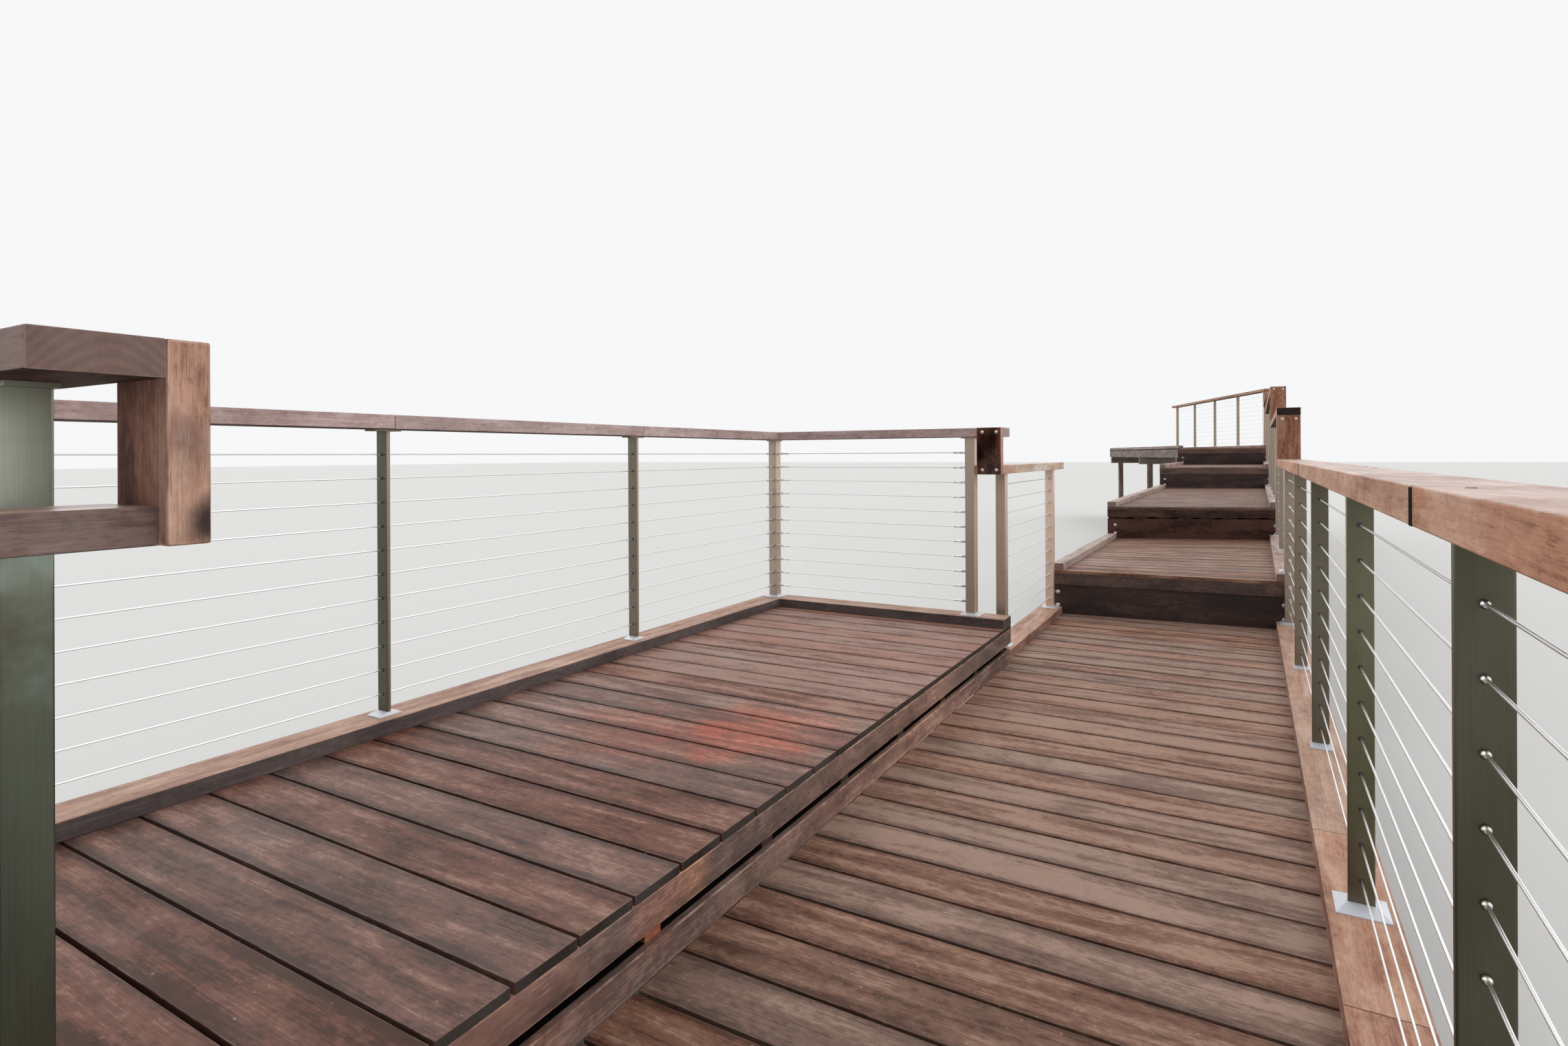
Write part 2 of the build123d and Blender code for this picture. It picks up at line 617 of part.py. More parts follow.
def rail_boards():
    """The upright boards that join two handrail levels."""
    boards = []
    decks = [DECK_TOP] + STEP_TOPS
    rail_tops = (RAIL_TOP,) + STEP_RAIL_TOPS + (RAIL_TOP,)
    levels = [deck + rail_top for deck, rail_top in zip(decks, rail_tops)]
    x0, x1 = RAIL_LINE - RAIL_HALF, RAIL_LINE + RAIL_HALF
    for step, under in enumerate(UNDER_RAIL):
        face = rail_board_face(step) if step else first_board_face()
        top = levels[step + 1] - (RAIL_THICK if under else 0)
        board = block(x0, x1, face, face + RAIL_THICK, levels[step] - RAIL_THICK, top)
        boards += in_flight([board]) if step else [board]
    bottom = DECK_TOP + LEFT_RAIL_TOP - RAIL_THICK
    top = PLATFORM_TOP + LEFT_RAIL_TOP
    x0, x1 = PLATFORM_FRONT - RAIL_WIDE, PLATFORM_FRONT
    near = PLATFORM_NEAR_LINE + RAIL_HALF
    far = PLATFORM_FAR_LINE - RAIL_HALF
    boards.append(block(x0, x1, near, near + RAIL_THICK, bottom, top))
    boards.append(block(x0, x1, far - RAIL_THICK, far, bottom, top))
    return boards


def main():
    bearers, stumps = [], []
    for build in (build_walkway, build_platform, build_steps, build_upper):
        more_bearers, more_stumps = build()
        bearers += more_bearers
        stumps += more_stumps
    nodes["bearers"] = bearers
    nodes["stumps"] = stumps
    nodes["rail_joining_boards"] = rail_boards()
    os.makedirs("parts", exist_ok=True)
    for name, solids in nodes.items():
        pieces = [piece for solid in solids for piece in solid.solids()]
        shape = pieces[0] if len(pieces) == 1 else Compound(children=pieces)
        shape.label = name
        export_step(shape, os.path.join("parts", name + ".step"))
    print(len(nodes), "nodes")


main()
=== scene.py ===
"""Looks of the wooden deck stairs: separate boards, dressed timbers, steel and their finishes.

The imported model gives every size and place. Deck slabs are cut into boards, timbers get rounded
arrises and their own grain directions, and steel posts, ropes and fittings get their finishes.
"""

from __future__ import annotations

import json
import logging
import math
import random
from dataclasses import dataclass, field
from enum import Enum
from typing import Iterable, Iterator, Sequence

import bmesh
import bpy
from mathutils import Matrix, Vector

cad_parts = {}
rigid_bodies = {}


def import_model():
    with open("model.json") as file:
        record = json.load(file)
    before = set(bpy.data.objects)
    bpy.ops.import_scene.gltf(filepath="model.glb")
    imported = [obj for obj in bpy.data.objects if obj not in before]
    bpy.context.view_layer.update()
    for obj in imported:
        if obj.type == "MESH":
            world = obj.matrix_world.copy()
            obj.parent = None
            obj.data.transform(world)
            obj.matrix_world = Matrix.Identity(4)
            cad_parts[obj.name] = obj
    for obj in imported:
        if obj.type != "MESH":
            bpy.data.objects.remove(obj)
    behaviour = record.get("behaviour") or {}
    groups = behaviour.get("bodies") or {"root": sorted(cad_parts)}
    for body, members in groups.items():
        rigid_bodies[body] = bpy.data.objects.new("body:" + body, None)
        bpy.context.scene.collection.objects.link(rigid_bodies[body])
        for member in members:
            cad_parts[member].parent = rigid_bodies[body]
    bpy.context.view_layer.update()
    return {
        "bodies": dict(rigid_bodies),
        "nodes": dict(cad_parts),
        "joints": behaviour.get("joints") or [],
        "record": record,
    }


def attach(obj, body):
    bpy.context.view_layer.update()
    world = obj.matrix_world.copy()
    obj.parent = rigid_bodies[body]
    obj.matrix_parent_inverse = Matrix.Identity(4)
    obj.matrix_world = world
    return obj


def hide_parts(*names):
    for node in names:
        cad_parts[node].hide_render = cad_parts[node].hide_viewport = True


LOG = logging.getLogger("deck_stairs")

Color = tuple[float, float, float]
Size = tuple[float, float, float]
Profile = tuple[tuple[float, float], ...]
WeatherAndLight = tuple[tuple[float, float], ...]
Cuts = list[tuple[Vector, Vector]]
Packed = dict[str, bpy.types.Object]
Piece = bpy.types.Object
Material = bpy.types.Material
Socket = bpy.types.NodeSocket
Solid = bmesh.types.BMesh

# Notes that the meshes carry for the finishes
PLACE = "grain_place"
# The tone note: each timber's own tone with its shift along Y, partly painted light; on steel, a painted
# reflection
TONE_AND_LIGHT = "tone_and_painted_light"
HUE = "board_hue"
END = "end_grain"
ARRIS = "arris"

FLOAT = "NodeSocketFloat"
COLOR = "NodeSocketColor"
VECTOR = "NodeSocketVector"

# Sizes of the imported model, in metres and degrees
DECK_TOP = 0.420
RAIL_HEIGHT = 1.0
STEP_RISE = 0.282
STEPS_LEFT = -0.657
STEPS_RIGHT = 0.729
RAIL_LINE = 0.662
FLIGHT_TURN = -0.5
STEPS_TURN = 21.0
FIRST_RISER_TURN = 5.6
RISER_PLACES = (0.0, 2.461, 7.015, 10.200)
WALKWAY_START = -5.690
PLATFORM_ENDS = (-5.227, -1.448)

# Boards: from gap to gap, and where any one gap is
BOARD_PITCH = 0.1495
PLATFORM_PITCH = 0.149
WALKWAY_GAP = -4.317
PLATFORM_GAP = -4.770
UPPER_GAP = 0.1415
UPPER_BOARDS = 33
UPPER_LONG = 5.0
LEAST_BOARD = 0.02
BEFORE_START = 0.05
PAST_END = 0.2
TURN_AHEAD = 1.15

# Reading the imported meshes
WELD = 2e-5
FLAT_ANGLE = math.radians(0.5)
FACING = 0.7
END_FACING = 0.75
UPRIGHT = 0.99
ON_PLANE = 1e-6

# One log's spread of tones and places
TONE_SHAPE = 2.6
LOG_PLACES = (1.0, 60.0)
LOG_CLIMB = 0.37

# Material indices of faces along X, along Y, up and down, where only the board ends differ
ENDS_DIFFER = (1, 0, 0, 0)

FITTING_SHARP = 40.0
BOX_FACES = ((0, 2, 3, 1), (4, 5, 7, 6), (0, 1, 5, 4), (2, 6, 7, 3), (0, 4, 6, 2), (1, 3, 7, 5))
UP = Vector((0.0, 0.0, 1.0))
TOWARD = Vector((0.0, -1.0, 0.0))
FLIGHT = Matrix.Rotation(math.radians(FLIGHT_TURN), 4, "Z")


class Axis(Enum):
    """A level axis of the row frame, by its index."""

    X = 0
    Y = 1


def riser_turn(step: int) -> float:
    """The angle of a riser in the flight's frame, in degrees."""
    return FIRST_RISER_TURN if step == 0 else STEPS_TURN


def riser_point(step: int, x: float, z: float, proud: float = 0.0) -> Vector:
    """A point on a riser's face, in the row frame.

    Args:
        step: Which riser, from 0.
        x: Place across the stairs, in the flight's frame.
        z: Height over the ground.
        proud: How far the point stands out of the face.

    Returns:
        The point.
    """
    slope = math.tan(math.radians(riser_turn(step)))
    return FLIGHT @ Vector((x, RISER_PLACES[step] + slope * x - proud * math.hypot(1.0, slope), z))


def riser_normal(step: int) -> Vector:
    """The way a riser's face looks, in the row frame."""
    turn = math.radians(riser_turn(step) + FLIGHT_TURN)
    return Vector((math.sin(turn), -math.cos(turn), 0.0))


def mean(points: Iterable[Vector]) -> Vector:
    """The middle of some points."""
    listed = list(points)
    return sum(listed, Vector()) / len(listed)


def weather_and_light_shift(weather_and_light: WeatherAndLight, y: float) -> float:
    """How much paler or darker timbers are at y, partly from weathering and partly as painted light.

    Args:
        weather_and_light: Places along Y, each with its change of tone.
        y: Where the timber is.

    Returns:
        The change of tone, between the two nearest places.
    """
    low, high = weather_and_light[0], weather_and_light[-1]
    for first, second in zip(weather_and_light, weather_and_light[1:]):
        if first[0] <= y <= second[0]:
            low, high = first, second
    if high[0] == low[0]:
        return low[1]
    share = min(1.0, max(0.0, (y - low[0]) / (high[0] - low[0])))
    return low[1] + share * (high[1] - low[1])


@dataclass
class Wood:
    """What a finish is told about one timber: its tone, its hue and its place in the log."""

    tone: float
    hue: float
    shift: float


class Lumber:
    """Picks each timber's own tone and place in the log, the same on every run."""

    def __init__(self, seed: int) -> None:
        """Starts the series of timbers."""
        self.dice = random.Random(seed)

    def wood(self, spread: float) -> Wood:
        """Picks one timber; spread narrows or widens the tones."""
        tone = 0.5 + spread * (self.dice.betavariate(TONE_SHAPE, TONE_SHAPE) - 0.5)
        return Wood(tone=tone, hue=self.dice.random(), shift=self.dice.uniform(*LOG_PLACES))


@dataclass
class Heap:
    """Meshes gathered into one piece, with the timber notes on points and faces."""

    points: list[Vector] = field(default_factory=list)
    faces: list[tuple[int, ...]] = field(default_factory=list)
    place: list[float] = field(default_factory=list)
    tone: list[float] = field(default_factory=list)
    hue: list[float] = field(default_factory=list)
    end: list[float] = field(default_factory=list)
    arris: list[float] = field(default_factory=list)
    stuff: list[int] = field(default_factory=list)

    def add_timber(
        self, solid: Solid, axes: Matrix, wood: Wood, rounded: set[int], stuff: tuple[int, int, int, int]
    ) -> None:
        """Adds one timber with its notes.

        Args:
            solid: The timber's mesh in the row frame.
            axes: From the row frame to the timber's own frame, with the grain along X.
            wood: The timber's own tone, hue and place in the log.
            rounded: Indices of its arris faces.
            stuff: The material index of the faces that look along X, along Y, up and down.
        """
        first = len(self.points)
        solid.verts.index_update()
        for vert in solid.verts:
            self.points.append(vert.co.copy())
            own = axes @ vert.co
            self.place.extend((own.x + wood.shift, own.y, own.z + LOG_CLIMB * wood.shift))
        along = axes.to_3x3().row[0].normalized()
        for index, face in enumerate(solid.faces):
            self.faces.append(tuple(first + vert.index for vert in face.verts))
            self.tone.append(wood.tone)
            self.hue.append(wood.hue)
            self.end.append(1.0 if abs(face.normal.dot(along)) > END_FACING else 0.0)
            self.arris.append(1.0 if index in rounded else 0.0)
            facing = [abs(part) for part in face.normal]
            kind = 3 if -face.normal.z > FACING else facing.index(max(facing))
            self.stuff.append(stuff[kind])

    def add_steel(self, solid: Solid, tone: float, edge_reflection: float) -> None:
        """Adds a solid that has no grain.

        Args:
            solid: The mesh in the row frame.
            tone: The painted reflection: how bright its surroundings would make it.
            edge_reflection: The same painted reflection for its faces that look across the run.
        """
        first = len(self.points)
        solid.verts.index_update()
        self.points.extend(vert.co.copy() for vert in solid.verts)
        for face in solid.faces:
            self.faces.append(tuple(first + vert.index for vert in face.verts))
            # The tone note holds a painted reflection, paler on faces that look across the run
            self.tone.append(edge_reflection if abs(face.normal.x) > FACING else tone)

    def add_box(self, place: Sequence[float], size: Size, turn: Matrix = Matrix.Identity(3)) -> None:
        """Adds a small box.

        Args:
            place: Its middle.
            size: Its length on each of its own axes.
            turn: From the box's own axes to the row frame.
        """
        first = len(self.points)
        for corner in range(8):
            own = Vector(size[axis] * (0.5 if corner >> axis & 1 else -0.5) for axis in range(3))
            self.points.append(Vector(place) + turn @ own)
        for corners in BOX_FACES:
            self.faces.append(tuple(first + corner for corner in corners))

    def piece(self, name: str, *finishes: Material | None, sharp: float = 35.0) -> Piece:
        """Makes the gathered meshes into one object with smooth faces.

        Args:
            name: The piece's name.
            finishes: Its materials, in the order of their indices.
            sharp: The angle in degrees over which an edge stays sharp.

        Returns:
            The new object, linked to the scene.
        """
        mesh = bpy.data.meshes.new(name)
        mesh.from_pydata([tuple(p) for p in self.points], [], self.faces)
        if self.place:
            mesh.attributes.new(PLACE, "FLOAT_VECTOR", "POINT").data.foreach_set("vector", self.place)
        notes = {TONE_AND_LIGHT: self.tone, HUE: self.hue, END: self.end, ARRIS: self.arris}
        for label, values in notes.items():
            if values:
                mesh.attributes.new(label, "FLOAT", "FACE").data.foreach_set("value", values)
        if self.stuff:
            mesh.polygons.foreach_set("material_index", self.stuff)
        mesh.update()
        mesh.shade_smooth()
        mesh.set_sharp_from_angle(angle=math.radians(sharp))
        piece = bpy.data.objects.new(name, mesh)
        bpy.context.scene.collection.objects.link(piece)
        piece.modifiers.new("weighted_normals", "WEIGHTED_NORMAL").keep_sharp = True
        for finish in finishes:
            if finish:
                mesh.materials.append(finish)
        return piece


class CadNode:
    """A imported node, read as separate clean solids."""

    def __init__(self, node: Piece) -> None:
        """Keeps the node's object."""
        self.node = node

    def welded(self) -> Solid:
        """Copies the node's mesh with its points welded and its flat faces joined.

        Returns:
            The mesh, with its points and faces numbered in order.
        """
        solid = bmesh.new()
        solid.from_mesh(self.node.data)
        bmesh.ops.remove_doubles(solid, verts=solid.verts, dist=WELD)
        bmesh.ops.dissolve_limit(solid, angle_limit=FLAT_ANGLE, verts=solid.verts, edges=solid.edges)
        solid.verts.index_update()
        solid.faces.index_update()
        return solid

    def solids(self) -> Iterator[Solid]:
        """Gives each separate solid of the node as its own mesh.

        Returns:
            The solids, in the order of their first points.
        """
        whole = self.welded()
        unseen = set(whole.verts)
        for seed in list(whole.verts):
            if seed not in unseen:
                continue
            unseen.remove(seed)
            group = {seed}
            waiting = [seed]
            while waiting:
                vert = waiting.pop()
                for edge in vert.link_edges:
                    other = edge.other_vert(vert)
                    if other in unseen:
                        unseen.remove(other)
                        group.add(other)
                        waiting.append(other)
            yield self._copy(group)
        whole.free()

    @staticmethod
    def _copy(group: set[bmesh.types.BMVert]) -> Solid:
        """Copies one connected group of points with its faces.

        Args:
            group: The points.

        Returns:
            The new mesh.
        """
        part = bmesh.new()
        ordered = sorted(group, key=lambda v: v.index)
        made = {vert: part.verts.new(vert.co) for vert in ordered}
        faces = {face for vert in ordered for face in vert.link_faces}
        for face in sorted(faces, key=lambda f: f.index):
            part.faces.new([made[vert] for vert in face.verts])
        part.normal_update()
        return part


def round_edges(
    solid: Solid, edges: list[bmesh.types.BMEdge], radius: float, segments: int, profile: float
) -> set[int]:
    """Rounds some edges of a solid.

    Args:
        solid: The mesh, changed in place.
        edges: The edges.
        radius: How far the round reaches from each edge.
        segments: Faces across the round.
        profile: How full the round is.

    Returns:
        Indices of the new faces.
    """
    if not edges:
        return set()
    made = bmesh.ops.bevel(
        solid, geom=edges, offset=radius, segments=segments, profile=profile, affect="EDGES",
        clamp_overlap=True,
    )
    solid.faces.index_update()
    solid.normal_update()
    return {face.index for face in made["faces"] if face.is_valid}


def soften(solid: Solid, radius: float, segments: int = 2, least: float = 30.0) -> set[int]:
    """Rounds the sharp arrises of a solid.

    Args:
        solid: The mesh, changed in place.
        radius: How far the round reaches from the arris.
        segments: Faces across the round.
        least: The angle in degrees from which an edge counts as sharp.

    Returns:
        Indices of the new arris faces.
    """
    solid.normal_update()
    limit = math.radians(least)
    sharp = [e for e in solid.edges if len(e.link_faces) == 2 and e.calc_face_angle(0.0) > limit]
    return round_edges(solid, sharp, radius, segments, profile=0.55)


def timber_axes(solid: Solid) -> Matrix:
    """Finds a timber's own frame from its longest edge.

    Args:
        solid: The timber's mesh.

    Returns:
        From the row frame to the timber's frame: X along the grain, Y across, Z through.
    """
    longest = max(solid.edges, key=lambda e: e.calc_length())
    along = (longest.verts[1].co - longest.verts[0].co).normalized()
    up = -TOWARD if abs(along.z) > FACING else UP
    across = up.cross(along).normalized()
    through = along.cross(across).normalized()
    turn = Matrix((along, across, through))
    return turn.to_4x4() @ Matrix.Translation(-mean(vert.co for vert in solid.verts))


class Nodes:
    """Short helpers to place and join shader nodes in one tree."""

    def __init__(self, tree: bpy.types.NodeTree) -> None:
        """Keeps the tree."""
        self.tree = tree

    def add(self, kind: str, **values: object) -> bpy.types.Node:
        """Places a node.

        Args:
            kind: The node's type.
            values: Its properties by name.

        Returns:
            The node.
        """
        node = self.tree.nodes.new(kind)
        for name, value in values.items():
            setattr(node, name, value)
        return node

    def feed(self, target: Socket, value: object) -> None:
        """Gives an input a link or a fixed value.

        Args:
            target: The input.
            value: A socket to join to it, a number, or a colour or vector.
        """
        if isinstance(value, bpy.types.NodeSocket):
            self.tree.links.new(value, target)
        elif target.type == "RGBA" and len(value) == 3:
            target.default_value = (*value, 1.0)
        else:
            target.default_value = value

    def fill(self, node: bpy.types.Node, inputs: dict[str, object]) -> bpy.types.Node:
        """Feeds a node's inputs by name.

        Args:
            node: The node.
            inputs: A link or a fixed value for each input.

        Returns:
            The same node.
        """
        for name, value in inputs.items():
            self.feed(node.inputs[name], value)
        return node

    def effect(self, group: bpy.types.NodeTree, inputs: dict[str, object]) -> bpy.types.Node:
        """Places a shared effect and feeds its inputs by name."""
        return self.fill(self.add("ShaderNodeGroup", node_tree=group), inputs)

    def note(self, label: str, output: str = "Fac") -> Socket:
        """One of the notes that the mesh carries."""
        return self.add("ShaderNodeAttribute", attribute_name=label).outputs[output]

    def spot(self) -> Socket:
        """Where the shaded point is on the part."""
        return self.add("ShaderNodeTexCoord").outputs["Object"]

    def math(self, operation: str, a: object, b: object = 0.0, clamp: bool = False) -> Socket:
        """A Math node of two inputs.

        Args:
            operation: What it does.
            a: The first input.
            b: The second input.
            clamp: Whether the result is kept from 0 to 1.

        Returns:
            The result.
        """
        node = self.add("ShaderNodeMath", operation=operation, use_clamp=clamp)
        self.feed(node.inputs[0], a)
        self.feed(node.inputs[1], b)
        return node.outputs[0]

    def total(self, base: object, *parts: tuple[object, float]) -> Socket:
        """A value plus others.

        Args:
            base: The first value.
            parts: The others, each with its weight.

        Returns:
            The sum.
        """
        for part, weight in parts:
            base = self.math("ADD", base, self.math("MULTIPLY", part, weight))
        return base

    def centred(self, value: Socket) -> Socket:
        """A value from 0 to 1, moved to run from -0.5 to 0.5."""
        return self.math("SUBTRACT", value, 0.5)

    def vector(self, operation: str, a: object, b: object, output: str = "Vector") -> Socket:
        """A Vector Math node of two inputs.

        Args:
            operation: What it does.
            a: The first input.
            b: The second input.
            output: Which output is wanted.

        Returns:
            The result.
        """
        node = self.add("ShaderNodeVectorMath", operation=operation)
        self.feed(node.inputs[0], a)
        self.feed(node.inputs[1], b)
        return node.outputs[output]

    def noise(
        self, vector: Socket, scale: float = 1.0, detail: float = 3.0, rough: float = 0.55, warp: float = 0.0,
        stretch: Size | None = None, offset: Size | None = None,
    ) -> Socket:
        """A noise value from 0 to 1.

        Args:
            vector: Where the noise is read.
            scale: How fine it is.
            detail: How many finer layers it has.
            rough: How strong the finer layers are.
            warp: How far it is distorted.
            stretch: A factor for the vector on each axis.
            offset: What is added to the vector.

        Returns:
            The value.
        """
        if stretch:
            vector = self.vector("MULTIPLY", vector, stretch)
        if offset:
            vector = self.vector("ADD", vector, offset)
        node = self.add("ShaderNodeTexNoise")
        inputs = {"Vector": vector, "Scale": scale, "Detail": detail, "Roughness": rough, "Distortion": warp}
        return self.fill(node, inputs).outputs["Fac"]

    def span(self, value: object, low: object, high: object) -> Socket:
        """A value mapped smoothly to run from 0 to 1.

        Args:
            value: The value.
            low: Where the result is 0.
            high: Where the result is 1.

        Returns:
            The mapped value, clamped.
        """
        node = self.add("ShaderNodeMapRange", interpolation_type="SMOOTHSTEP")
        return self.fill(node, {"Value": value, "From Min": low, "From Max": high}).outputs["Result"]

    def mix(self, factor: object, a: object, b: object, blend: str = "MIX") -> Socket:
        """Two colours mixed.

        Args:
            factor: The share of the second.
            a: The first colour.
            b: The second colour.
            blend: How they mix.

        Returns:
            The colour.
        """
        node = self.add("ShaderNodeMix", data_type="RGBA", blend_type=blend, clamp_factor=True)
        for index, value in ((0, factor), (6, a), (7, b)):
            self.feed(node.inputs[index], value)
        return node.outputs[2]

    def split(self, vector: Socket) -> tuple[Socket, Socket, Socket]:
        """Takes a vector apart.

        Args:
            vector: The vector.

        Returns:
            Its X, Y and Z.
        """
        node = self.add("ShaderNodeSeparateXYZ")
        self.feed(node.inputs[0], vector)
        return node.outputs[0], node.outputs[1], node.outputs[2]

    def bump(self, height: Socket, strength: float, distance: float) -> Socket:
        """A normal bent by a height.

        Args:
            height: The height.
            strength: How much of the bend shows.
            distance: How deep a height of 1 is, in metres.

        Returns:
            The normal.
        """
        node = self.add("ShaderNodeBump")
        inputs = {"Strength": strength, "Distance": distance, "Height": height}
        return self.fill(node, inputs).outputs["Normal"]


def new_group(
    name: str, inputs: Sequence[tuple[str, str, object]], outputs: Sequence[tuple[str, str]]
) -> tuple[Nodes, bpy.types.NodeOutputs, bpy.types.Node]:
    """Starts a shader node group with named sockets.

    Args:
        name: The group's name.
        inputs: Name, socket kind and default of each input.
        outputs: Name and socket kind of each output.

    Returns:
        The tree's helper, what the group is given by name, and the group's output node.
    """
    tree = bpy.data.node_groups.new(name, "ShaderNodeTree")
    for label, kind, default in inputs:
        socket = tree.interface.new_socket(name=label, in_out="INPUT", socket_type=kind)
        if default is not None:
            socket.default_value = default
    for label, kind in outputs:
        tree.interface.new_socket(name=label, in_out="OUTPUT", socket_type=kind)
    helper = Nodes(tree)
    return helper, helper.add("NodeGroupInput").outputs, helper.add("NodeGroupOutput")


SURFACE_OUTPUTS = (("Color", COLOR), ("Rough", FLOAT), ("Height", FLOAT))


def build_grain_group() -> bpy.types.NodeTree:
    """Hardwood grain: fibres, figure, pores and growth rings, from a timber's own place, and a darker band
    along each long edge.

    Returns:
        The group, with Color, Rough and Height outputs.
    """
    redder = (0.62, 0.27, 0.17)
    greyer = (0.36, 0.36, 0.36)
    pore = (0.02, 0.011, 0.009)
    n, given, out = new_group(
        "hardwood_grain",
        (
            ("Place", VECTOR, None),
            ("Dark", COLOR, (0.05, 0.02, 0.015, 1.0)),
            ("Middle", COLOR, (0.15, 0.08, 0.06, 1.0)),
            ("Light", COLOR, (0.3, 0.17, 0.12, 1.0)),
            ("Tone", FLOAT, 0.5),
            ("Hue", FLOAT, 0.5),
            ("End", FLOAT, 0.0),
            ("Figure", FLOAT, 0.5),
            ("Pores", FLOAT, 0.5),
            ("Edge", FLOAT, 10.0),
        ),
        SURFACE_OUTPUTS,
    )
    place = given["Place"]
    sway = n.math("MULTIPLY", n.centred(n.noise(place, detail=2.0, stretch=(1.1, 3.0, 3.0))), 0.05)
    bend = n.fill(n.add("ShaderNodeCombineXYZ"), {"Y": sway, "Z": sway}).outputs[0]
    swayed = n.vector("ADD", place, bend)
    broad = n.noise(swayed, detail=4.0, rough=0.6, stretch=(1.6, 22.0, 22.0))
    fibres = n.noise(swayed, detail=4.0, rough=0.65, stretch=(7.0, 210.0, 210.0))
    fine = n.noise(swayed, rough=0.7, stretch=(34.0, 900.0, 900.0))
    blotch = n.noise(swayed, detail=4.0, rough=0.6, warp=0.4, stretch=(5.0, 12.0, 12.0))
    mottle = n.noise(place, detail=5.0, rough=0.7, stretch=(38.0, 70.0, 70.0))
    curl = n.noise(place, detail=2.0, stretch=(0.9, 6.0, 2.0))
    pores = n.noise(swayed, detail=2.0, rough=0.5, stretch=(42.0, 620.0, 620.0))
    pores = n.math("MULTIPLY", n.span(pores, 0.60, 0.72), given["Pores"])

    _, across, through = n.split(swayed)
    ring = n.math("SINE", n.total(0.0, (across, 60.0), (through, 30.0), (curl, 26.0)))
    level = n.math("MULTIPLY", given["Figure"], n.math("MULTIPLY", ring, 0.5))
    weights = ((broad, 1.0), (fibres, 1.2), (fine, 0.9), (blotch, 1.1), (mottle, 1.3), (given["Tone"], 0.8))
    level = n.total(level, *((n.centred(part), weight) for part, weight in weights))
    _, own_across, own_through = n.split(place)
    # Darker in a band along each long edge, from Edge outward, with a ragged inner limit
    reach = n.total(given["Edge"], (blotch, -0.02))
    near_edge = n.span(n.math("ABSOLUTE", own_across), reach, n.math("ADD", reach, 0.022))
    level = n.math("ADD", n.total(level, (near_edge, -0.35)), 0.5, clamp=True)

    lower = n.mix(n.span(level, 0.0, 0.5), given["Dark"], given["Middle"])
    color = n.mix(n.span(level, 0.5, 1.0), lower, given["Light"])
    red = n.mix(0.30, color, redder, "SOFT_LIGHT")
    grey = n.mix(0.24, color, greyer)
    color = n.mix(0.45, color, n.mix(n.span(given["Hue"], 0.2, 0.8), red, grey))
    color = n.mix(n.math("MULTIPLY", pores, 0.55), color, pore)

    bow = n.math("MULTIPLY", own_across, own_across)
    end_rings = n.math("SINE", n.total(0.0, (own_through, 420.0), (curl, 40.0), (bow, 5200.0)))
    end_grit = n.noise(place, rough=0.7, stretch=(1.0, 700.0, 700.0))
    end_color = n.mix(n.total(0.0, (end_rings, 0.16), (end_grit, 0.9)), given["Dark"], given["Middle"])
    n.fill(out, {
        "Color": n.mix(n.math("MULTIPLY", given["End"], 0.8), color, end_color),
        "Rough": n.total(0.0, (blotch, -0.4), (fine, 0.3)),
        "Height": n.total(0.0, (fibres, 0.55), (fine, 0.35), (pores, -0.5)),
    })
    return n.tree


def build_weather_group() -> bpy.types.NodeTree:
    """Weather on timber: worn arrises, grey patches, dark marks and pale dust specks.

    Returns:
        The group, with Color, Rough and Height outputs.
    """
    silver = (0.20, 0.165, 0.15)
    soot = (0.045, 0.026, 0.021)
    drop = (0.03, 0.018, 0.015)
    speck = (0.52, 0.42, 0.36)
    n, given, out = new_group(
        "timber_weather",
        (
            ("Color", COLOR, (0.2, 0.1, 0.08, 1.0)),
            ("Spot", VECTOR, None),
            ("Arris", FLOAT, 0.0),
            ("Worn", COLOR, (0.5, 0.34, 0.28, 1.0)),
            ("Wear", FLOAT, 0.5),
            ("Grey", FLOAT, 0.4),
            ("Marks", FLOAT, 0.4),
            ("Specks", FLOAT, 0.3),
            ("Bleach", FLOAT, 0.0),
        ),
        SURFACE_OUTPUTS,
    )
    spot = given["Spot"]
    patches = n.span(n.noise(spot, 2.3, detail=4.0, rough=0.6, warp=0.4), 0.38, 0.72)
    color = n.mix(n.math("MULTIPLY", patches, given["Grey"]), given["Color"], silver)

    pale = n.noise(spot, 2.9, detail=5.0, rough=0.62, warp=0.5, offset=(2.6, 6.1, 1.3))
    color = n.mix(n.math("MULTIPLY", n.span(pale, 0.50, 0.72), given["Bleach"]), color, given["Worn"])

    stain = n.noise(spot, 5.0, detail=5.0, rough=0.62, warp=0.6, offset=(7.3, 2.1, 4.4))
    stain = n.math("MULTIPLY", n.span(stain, 0.54, 0.76), given["Marks"])
    color = n.mix(stain, color, soot)

    spatter = n.noise(spot, 46.0, detail=2.0, rough=0.5, offset=(1.9, 8.7, 3.1))
    spatter = n.math("MULTIPLY", n.span(spatter, 0.70, 0.76), given["Marks"])
    color = n.mix(n.math("MULTIPLY", spatter, 0.75), color, drop)

    dust = n.noise(spot, 85.0, detail=2.0, rough=0.5, offset=(4.2, 0.7, 9.9))
    color = n.mix(n.math("MULTIPLY", n.span(dust, 0.71, 0.77), given["Specks"]), color, speck)

    breaks = n.span(n.noise(spot, 13.0, detail=4.0, rough=0.65, offset=(3.3, 5.1, 0.2)), 0.36, 0.64)
    worn = n.math("MULTIPLY", given["Arris"], n.math("MULTIPLY", breaks, given["Wear"]))
    n.fill(out, {
        "Color": n.mix(worn, color, given["Worn"]),
        "Rough": n.math("MULTIPLY", n.math("ADD", patches, stain), 0.09),
        "Height": n.math("MULTIPLY", n.math("ADD", breaks, stain), -0.05),
    })
    return n.tree


